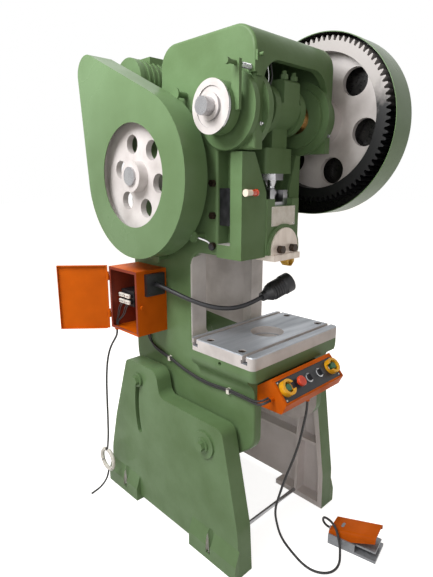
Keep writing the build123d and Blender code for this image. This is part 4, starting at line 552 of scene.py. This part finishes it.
HANK_RADIUS, HANK_SLACK, HANK_SPREAD = 52, 3.5, 10
HANK_TURNS, HANK_STEPS = 2.5, 12


def mains_points():
    """Route of the mains cord: down from its gland, two and a half turns round the hank, then the tail."""
    last = int(HANK_TURNS * HANK_STEPS)
    turns = []
    for i in range(last + 1):
        angle = pi / 2 + 2 * pi * i / HANK_STEPS
        across = HANK_SPREAD * (i / last - 0.5)
        radius = HANK_RADIUS + HANK_SLACK * sin(2 * pi * i / last)
        turns.append((HANK[0] + across, HANK[1] + radius * cos(angle), HANK[2] + radius * sin(angle)))
    return list(MAINS_ROUTE) + turns + list(TAIL_ROUTE)


class PressOperator:
    """Shared way to run one step of the dressing."""
    bl_options = {"REGISTER", "UNDO"}

    def execute(self, context):
        """Run the step."""
        self.fit(context.scene.press_sizes)
        return {"FINISHED"}


def inside_leg(node):
    """Test for the faces in a leg's hollow: the skin lies beside them, and they face the middle or the hollow."""
    obj = NODES[node]
    out = Vector((1 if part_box(node)[0].x > 0 else -1, 0, 0))

    def choose(centre, normal):
        start, facing = (centre + normal) * MM, normal.dot(out)
        if facing > 0.5 or not obj.ray_cast(start, out)[0]:
            return False
        return facing < -0.5 or obj.ray_cast(start, normal)[0]
    return choose


def inside_throat(centre, normal):
    """Test for the faces of the throat, of the open front and of the cheeks' inner sides under the bed."""
    x, y, z = centre
    if abs(x) >= CHEEK_OUTSIDE:
        return False
    under_bed = z < BED_UNDERSIDE and x * normal.x < -0.5 * abs(x)
    in_throat = THROAT_HEIGHT[0] < z < THROAT_HEIGHT[1]
    front = normal.y < -0.7 and THROAT_FRONT[0] < y < THROAT_FRONT[1]
    return under_bed or in_throat and (front or abs(x) < CHEEK_INSIDE)


def axis_of(node):
    """Y and Z of the middle of a round node that lies along X, in millimetres."""
    low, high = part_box(node)
    return (low.y + high.y) / 2 / MM, (low.z + high.z) / 2 / MM


def off_axis(centre, axis):
    """Distance of a point from an axis along X."""
    return hypot(centre.y - axis[0], centre.z - axis[1])


class PRESS_OT_castings(PressOperator, bpy.types.Operator):
    """Paint the legs, the frame, the bolster and the slide guides"""
    bl_idname = "press.castings"
    bl_label = "Castings"

    def fit(self, sizes):
        """Green outside, pale grey in the legs' hollows and the throat, ground steel on top of the bolster."""
        for leg in ("left_leg", "right_leg"):
            dress([leg], "green", "hollow", inside_leg(leg))
        dress(["press_frame"], "green", "grey", inside_throat)
        dress(["bolster_plate"], "grey", "ground", lambda centre, normal: normal.z > 0.5)
        dress(["left_gib"], "green", "grey", lambda centre, normal: centre.x < GIB_STRIP[0]
              and centre.y > GIB_STRIP[1] and centre.z > GIB_STRIP[2])
        dress(["right_gib"], "green")
        dress(["gib_wedges"], "black")
        dress(["leg_tie_rod"], "steel")
        dress(["bolster_bolts", "gib_bolts"], "oxide")
        dress(["pivot_pins", "tilt_lock_bolts"], "green")
        dress(["shaft_bushes"], "bronze")
        dress(["oil_sight"], "sight")


class PRESS_OT_drive(PressOperator, bpy.types.Operator):
    """Finish the flywheel, the gear, the belts, the motor and the guards"""
    bl_idname = "press.drive"
    bl_label = "Drive"

    def fit(self, sizes):
        """Pale wheels with bare hubs behind green guards."""
        shaft, gear = axis_of("back_shaft"), axis_of("drive_gear")
        dress(["flywheel"], "grey", "steel", lambda centre, normal: off_axis(centre, shaft) < HUB_RADIUS)
        # The rim's lower half is black, partly greasy and partly painted shade
        dress(["drive_gear"], "grey", "rim_greasy_and_painted_shade", lambda centre, normal: off_axis(centre, gear) > GEAR_RIM)
        dress(["back_shaft", "motor_pulley"], "steel")
        dress(["drive_belts"], "belt")
        dress(["motor"], "green")
        dress(["motor_bracket", "flywheel_guard"], "green_sheet")
        # The guard's inner faces and the inside of its back wall are black
        dress(["gear_guard"], "green_sheet", "guard_inside_dark",
              lambda centre, normal: Vector((0, centre.y - gear[0], centre.z - gear[1])).dot(normal) < -1
              or (normal.x < -0.5 and centre.x > GUARD_BACK))
        self.latch()

    def latch(self):
        """Bent latch rod of the flywheel guard, with a black knob on the cheek."""
        rod = [(-283, -150, 1327), (-272, -164, 1321), (-258, -182, 1313), (-245, -197, 1306), (-240, -207, 1298),
               (-240, -214, 1290)]
        tube("guard_latch_rod", rod, 4.5, "frame", "steel")
        bm = bmesh.new()
        add_turned(bm, (-230, -219, 1284), (-1, 0, 0), [(0, 0), (9, 0), (9, 3), (13, 5), (14, 12), (11, 17), (0, 18)])
        piece("guard_latch_knob", bm, "frame", "black")


class PRESS_OT_crank(PressOperator, bpy.types.Operator):
    """Finish the crank, the brake, the rod and the slide"""
    bl_idname = "press.crank"
    bl_label = "Crank and slide"

    def fit(self, sizes):
        """Bare journals and screw, green rod and slide, a wound brake spring and thin oil tubes."""
        dress(["crankshaft"], "green", "steel", lambda centre, normal: off_axis(centre, CRANK_AXIS) < JOURNAL_RADIUS
              and abs(centre.x) > CRANK_CHEEK)
        dress(["brake_drum"], "grey", "steel", lambda centre, normal: abs(normal.x) < 0.5)
        dress(["brake_band", "brake_bracket", "connecting_rod", "rod_cap", "cap_studs", "slide"], "green")
        dress(["adjusting_screw", "ball_seat"], "steel")
        # The shank clamp's near-white colour is a painted reflection of light from the front
        dress(["shank_clamp"], "bright")
        dress(["clamp_bolts"], "oxide")
        dress(["punch_block"], "amber")
        self.spring(sizes)
        self.slide_plate()
        self.oil_tubes(sizes)

    def slide_plate(self):
        """Bare white plate on the slide, held by four rivets."""
        bm = bmesh.new()
        add_prism(bm, (0, -370, 1397), (0, -1, 0), rounded(144, 74, 3), 1.2, 0.3)
        piece("slide_plate", bm, "slide", "white")
        bm = bmesh.new()
        for x in (-66, 66):
            for z in (1366, 1428):
                add_turned(bm, (x, -371.2, z), (0, -1, 0), [(0, 0), (2.6, 0), (2.2, 1.2), (0, 1.8)], 12)
        piece("slide_plate_rivets", bm, "slide", "steel")

    def oil_tubes(self, sizes):
        """Oil tubes from the visor down to the left bearing, and fittings on the front edges of the cheeks."""
        radius = sizes.oil_tube / MM / 2
        tube("oil_tube_bearing", [(-128, -392, 1928), (-122, -392, 1905), (-110, -389, 1876), (-118, -384, 1848),
                                  (-142, -378, 1820), (-166, -374, 1800)], radius, "frame", "cord")
        tube("oil_tube_guide", [(-146, -392, 1928), (-140, -393, 1898), (-131, -391, 1868), (-140, -388, 1838),
                                (-158, -384, 1812), (-172, -380, 1790)], radius * 0.8, "frame", "steel")
        bm = bmesh.new()
        for x, y, z in ((-200, -416, 1716), (208, -416, 1806), (208, -416, 1700)):
            add_turned(bm, (x, y, z), (0, -1, 0), [(0, 0), (7, 0), (7, 4), (4, 5), (4, 9), (2.5, 11), (0, 11)], 12)
        piece("oil_nipples", bm, "frame", "steel")

    def spring(self, sizes):
        """Wind the brake spring between the arm and the bracket."""
        low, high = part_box("brake_spring")
        middle = (low + high) / 2
        wire = sizes.spring_wire / MM / 2
        radius = (high.z - low.z) / 2 / MM - wire
        turns, steps = 9, 14
        start, reach = low.x / MM + wire, (high.x - low.x) / MM - 2 * wire
        points = [(start + reach * i / (turns * steps), middle.y / MM + radius * cos(2 * pi * i / steps),
                   middle.z / MM + radius * sin(2 * pi * i / steps)) for i in range(turns * steps + 1)]
        spring = tube("brake_coil", points, wire, "frame", "steel", 3, 2)
        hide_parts("brake_spring")


class PRESS_OT_electrics(PressOperator, bpy.types.Operator):
    """Finish the electric box, its door, the contactor and the lamp"""
    bl_idname = "press.electrics"
    bl_label = "Electric box and lamp"

    def fit(self, sizes):
        """Orange box with a red-brown inside, black contactor with white terminals, black lamp."""
        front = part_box("electric_box")[0].x / MM + BOX_EDGE
        dress(["electric_box"], "orange", "primer", lambda centre, normal: front < centre.x < BOX_BACK
              and BOX_WIDTH[0] < centre.y < BOX_WIDTH[1] and BOX_HEIGHT[0] < centre.z < BOX_HEIGHT[1])
        dress(["box_door"], "orange")
        dress(["contactor", "lamp_base", "gooseneck", "lamp_head"], "black")
        dress(["panel_cable"], "cord")
        dress(["cable_clips"], "white")
        self.terminals()
        self.hinge_strip()
        tube("panel_cable_twin", PANEL_ROUTE, 4, "frame", "cord")

    def hinge_strip(self):
        """Sheet lip that closes the gap between the door and its hinge line."""
        low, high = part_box("box_door")
        axis = Vector((*DOOR_HINGE, 0))
        corners = [(NODES["box_door"].matrix_world @ v.co) / MM for v in NODES["box_door"].data.vertices]
        far = max(corners, key=lambda corner: (corner.xy - axis.xy).length)
        out = (Vector((far.x, far.y, 0)) - axis).normalized()
        bm = bmesh.new()
        add_prism(bm, axis + out * 13 + Vector((0, 0, low.z / MM + 4)), (0, 0, 1), rounded(22, 2.4, 1),
                  (high.z - low.z) / MM - 8, 0.3, side=out)
        piece("door_hinge_lip", bm, "box_door", "orange")

    def terminals(self):
        """White terminal blocks on the contactor with their screws, and wires to the gland."""
        white, screws = bmesh.new(), bmesh.new()
        for y in (206, 250):
            for z in (1006, 1034):
                add_prism(white, (-345, y, z), (-1, 0, 0), rounded(38, 17, 2), 7, 1)
                for step in (-12, 0, 12):
                    add_screw(screws, (-352, y + step, z), (-1, 0, 0), 3.2, 1.6)
        piece("contactor_terminals", white, "frame", "white")
        piece("contactor_screws", screws, "frame", "steel")
        for number, (y, end) in enumerate(((196, 262), (208, 267), (240, 272), (252, 277))):
            tube(f"contactor_wire_{number + 1}",
                 [(-352, y, 994), (-362, y, 984), (-366, y + 4, 960), (-364, (y + end) / 2, 935), (-365, end, 912),
                  (-365, end, 892)], 2.2, "frame", "cord")


class PRESS_OT_panel(PressOperator, bpy.types.Operator):
    """Finish the control box and its buttons"""
    bl_idname = "press.panel"
    bl_label = "Control panel"

    def fit(self, sizes):
        """Orange box with a black fascia, yellow collars, green buttons, a red stop and two selectors."""
        dress(["control_box"], "orange")
        dress(["control_fascia", "left_selector", "right_selector"], "black")
        dress([name for name in NODES if "collar" in name], "yellow")
        dress(["left_run_button", "right_run_button"], "button")
        dress(["emergency_stop"], "red")
        self.bezels()

    def bezels(self):
        """Bare rings round the selectors and buttons, the fascia's screws and the strip along its top."""
        ridge, lip = Vector((0, *PANEL_RIDGE)), Vector((0, *PANEL_LIP))
        slope = (ridge - lip).normalized()
        up = Vector((1, 0, 0)).cross(slope)
        low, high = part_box("control_fascia")
        half = (high.x - low.x) / 2 / MM
        middle = Vector(((low.x + high.x) / 2 / MM, *((ridge + lip) / 2).yz)) - up * 3
        bm = bmesh.new()
        selector_ring = [(13.6, 0), (19, 0), (19, 2.5), (16.5, 4.5), (13.6, 4.5)]
        button_ring = [(15.6, 0), (19.5, 0), (19.5, 5), (18, 7), (15.6, 7)]
        for x, ring in ((0, selector_ring), (69, selector_ring), (-148, button_ring), (148, button_ring)):
            add_turned(bm, middle + Vector((x, 0, 0)), up, ring, 32)
        piece("panel_bezels", bm, "frame", "steel")
        bm = bmesh.new()
        for x in (12 - half, half - 12):
            for along in (-39, 31):
                add_screw(bm, middle + Vector((x, 0, 0)) + slope * along, up, 4, 2.4)
        piece("fascia_screws", bm, "frame", "steel")
        bm = bmesh.new()
        add_prism(bm, middle + slope * 43, up, rounded(2 * half - 8, 9, 1), 3, 0.4, side=(1, 0, 0))
        piece("fascia_strip", bm, "frame", "orange")


class PRESS_OT_foot_switch(PressOperator, bpy.types.Operator):
    """Finish the foot switch"""
    bl_idname = "press.foot_switch"
    bl_label = "Foot switch"

    def fit(self, sizes):
        """Hammered grey base and pedal under an orange hood."""
        dress(["foot_switch_base", "foot_pedal"], "hammered")
        dress(["foot_switch_hood"], "orange")
        turn = Matrix.Rotation(radians(FOOT_SWITCH_TURN), 3, "Z")
        place = Vector(FOOT_SWITCH)
        bm = bmesh.new()
        top = turn @ Vector((0, 42, 174)).normalized()
        add_prism(bm, place + turn @ Vector((-8, 54, 76)), top, rounded(30, 13, 6.4), 1.6, 0.3,
                  side=turn @ Vector((1, 0, 0)))
        piece("hood_badge_blank", bm, "stand", "hammered")


class PRESS_OT_cords(PressOperator, bpy.types.Operator):
    """Lay the foot switch cord and the mains cord"""
    bl_idname = "press.cords"
    bl_label = "Cords"

    def fit(self, sizes):
        """Two rubber cords, the mains one tied in a hank with a bare end."""
        foot, path = hung_cord("foot_switch_lead", FOOT_ROUTE, sizes.foot_cord)
        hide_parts("foot_cord")
        mains, path = hung_cord("mains_lead", mains_points(), sizes.mains_cord)
        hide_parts("mains_cord", "mains_hank", "mains_tail")
        for number, (start, end) in enumerate(((100, 215), (222, 330), (338, 440))):
            arc = [radians(start + (end - start) * i / 9) for i in range(10)]
            points = [(HANK[0], HANK[1] + HANK_RADIUS * cos(a), HANK[2] + HANK_RADIUS * sin(a)) for a in arc]
            tube(f"mains_wrap_{number + 1}", points, 9.8, "stand", "tape")


class PRESS_OT_stage(PressOperator, bpy.types.Operator):
    """Set the floor, the lights and the camera"""
    bl_idname = "press.stage"
    bl_label = "Stage"

    def fit(self, sizes):
        """Pale floor, even light with a soft key, and the photograph's camera."""
        scene = bpy.context.scene
        stage = scene.press_stage
        scene.view_settings.view_transform = "Standard"
        self.floor()
        self.sky(scene, stage)
        self.lamp("key_light", (-1.8, 0.1, 3.0), (-0.25, 0, 1.8), 1.5, stage.key)
        self.lamp("fill_light", (-3.0, -2.5, 1.7), (0.1, -0.2, 0.6), 2.2, stage.fill)
        rear = self.lamp("rear_light", (2.8, 2.2, 2.6), (0.1, 0, 1.0), 2.2, stage.rear)
        rear.visible_glossy = False
        camera = bpy.data.cameras.new("photo_camera")
        camera.lens = stage.lens
        viewer = bpy.data.objects.new("photo_camera", camera)
        viewer.location = stage.place
        viewer.rotation_euler = (pi / 2 - stage.tilt, 0, stage.azimuth)
        scene.collection.objects.link(viewer)
        scene.camera = viewer

    def floor(self):
        """Wide pale floor."""
        bm = bmesh.new()
        bmesh.ops.create_grid(bm, x_segments=2, y_segments=2, size=30)
        mesh = bpy.data.meshes.new("studio_floor")
        bm.to_mesh(mesh)
        bm.free()
        material, tree, shader = new_material("painted_floor_white")[:3]
        shader.inputs["Base Color"].default_value = linear("#C9C9C8")
        shader.inputs["Roughness"].default_value = 0.9
        shader.inputs["Specular IOR Level"].default_value = 0.1
        shader.inputs["Emission Color"].default_value = WHITE
        shown = add_node(tree, "ShaderNodeMapRange", [("Value", background_rays(tree)), ("To Max", 0.85)])
        tree.links.new(shown.outputs["Result"], shader.inputs["Emission Strength"])
        mesh.materials.append(material)
        floor = bpy.data.objects.new("studio_floor", mesh)
        floor.location.z = -0.0005
        bpy.context.collection.objects.link(floor)

    def sky(self, scene, stage):
        """Even light for surfaces, and white where the camera, a reflection or glass looks past the floor."""
        world = bpy.data.worlds.new("studio_world")
        world.use_nodes = True
        tree = world.node_tree
        tree.nodes.clear()
        seen = background_rays(tree)
        level = add_node(tree, "ShaderNodeMapRange", [("Value", seen), ("To Min", stage.ambient), ("To Max", 1.0)])
        tint = add_node(tree, "ShaderNodeMix", [("Factor", seen), ("A", stage.shade), ("B", WHITE)],
                        data_type="RGBA")
        light = add_node(tree, "ShaderNodeBackground", [("Strength", level.outputs["Result"]),
                                                        ("Color", tint.outputs["Result"])])
        add_node(tree, "ShaderNodeOutputWorld", [("Surface", light.outputs["Background"])])
        scene.world = world

    def lamp(self, name, place, target, size, power):
        """Large soft lamp that looks at a point."""
        data = bpy.data.lights.new(name, "AREA")
        data.shape = "DISK"
        data.size = size
        data.energy = power
        obj = bpy.data.objects.new(name, data)
        obj.location = place
        obj.rotation_euler = (Vector(target) - Vector(place)).to_track_quat("-Z", "Y").to_euler()
        bpy.context.collection.objects.link(obj)
        return obj


class PRESS_PT_sidebar(bpy.types.Panel):
    """Lists the steps of the dressing"""
    bl_idname = "PRESS_PT_sidebar"
    bl_label = "Power press"
    bl_space_type = "VIEW_3D"
    bl_region_type = "UI"
    bl_category = "Press"

    def draw(self, context):
        """One button for each step."""
        for step in STEPS:
            self.layout.operator(step.bl_idname)


STEPS = (PRESS_OT_castings, PRESS_OT_drive, PRESS_OT_crank, PRESS_OT_electrics, PRESS_OT_panel,
         PRESS_OT_foot_switch, PRESS_OT_cords, PRESS_OT_stage)
CLASSES = (PressPaint, PressSizes, PressStage, *STEPS, PRESS_PT_sidebar)


def register():
    """Add the classes and the scene's settings."""
    for kind in CLASSES:
        bpy.utils.register_class(kind)
    bpy.types.Scene.press_paint = PointerProperty(type=PressPaint)
    bpy.types.Scene.press_sizes = PointerProperty(type=PressSizes)
    bpy.types.Scene.press_stage = PointerProperty(type=PressStage)


def unregister():
    """Take the settings and the classes away."""
    del bpy.types.Scene.press_stage, bpy.types.Scene.press_sizes, bpy.types.Scene.press_paint
    for kind in reversed(CLASSES):
        bpy.utils.unregister_class(kind)


def main():
    """Dress the press step by step."""
    register()
    for step in STEPS:
        group, name = step.bl_idname.split(".")
        getattr(getattr(bpy.ops, group), name)()


if __name__ == "__main__":
    main()
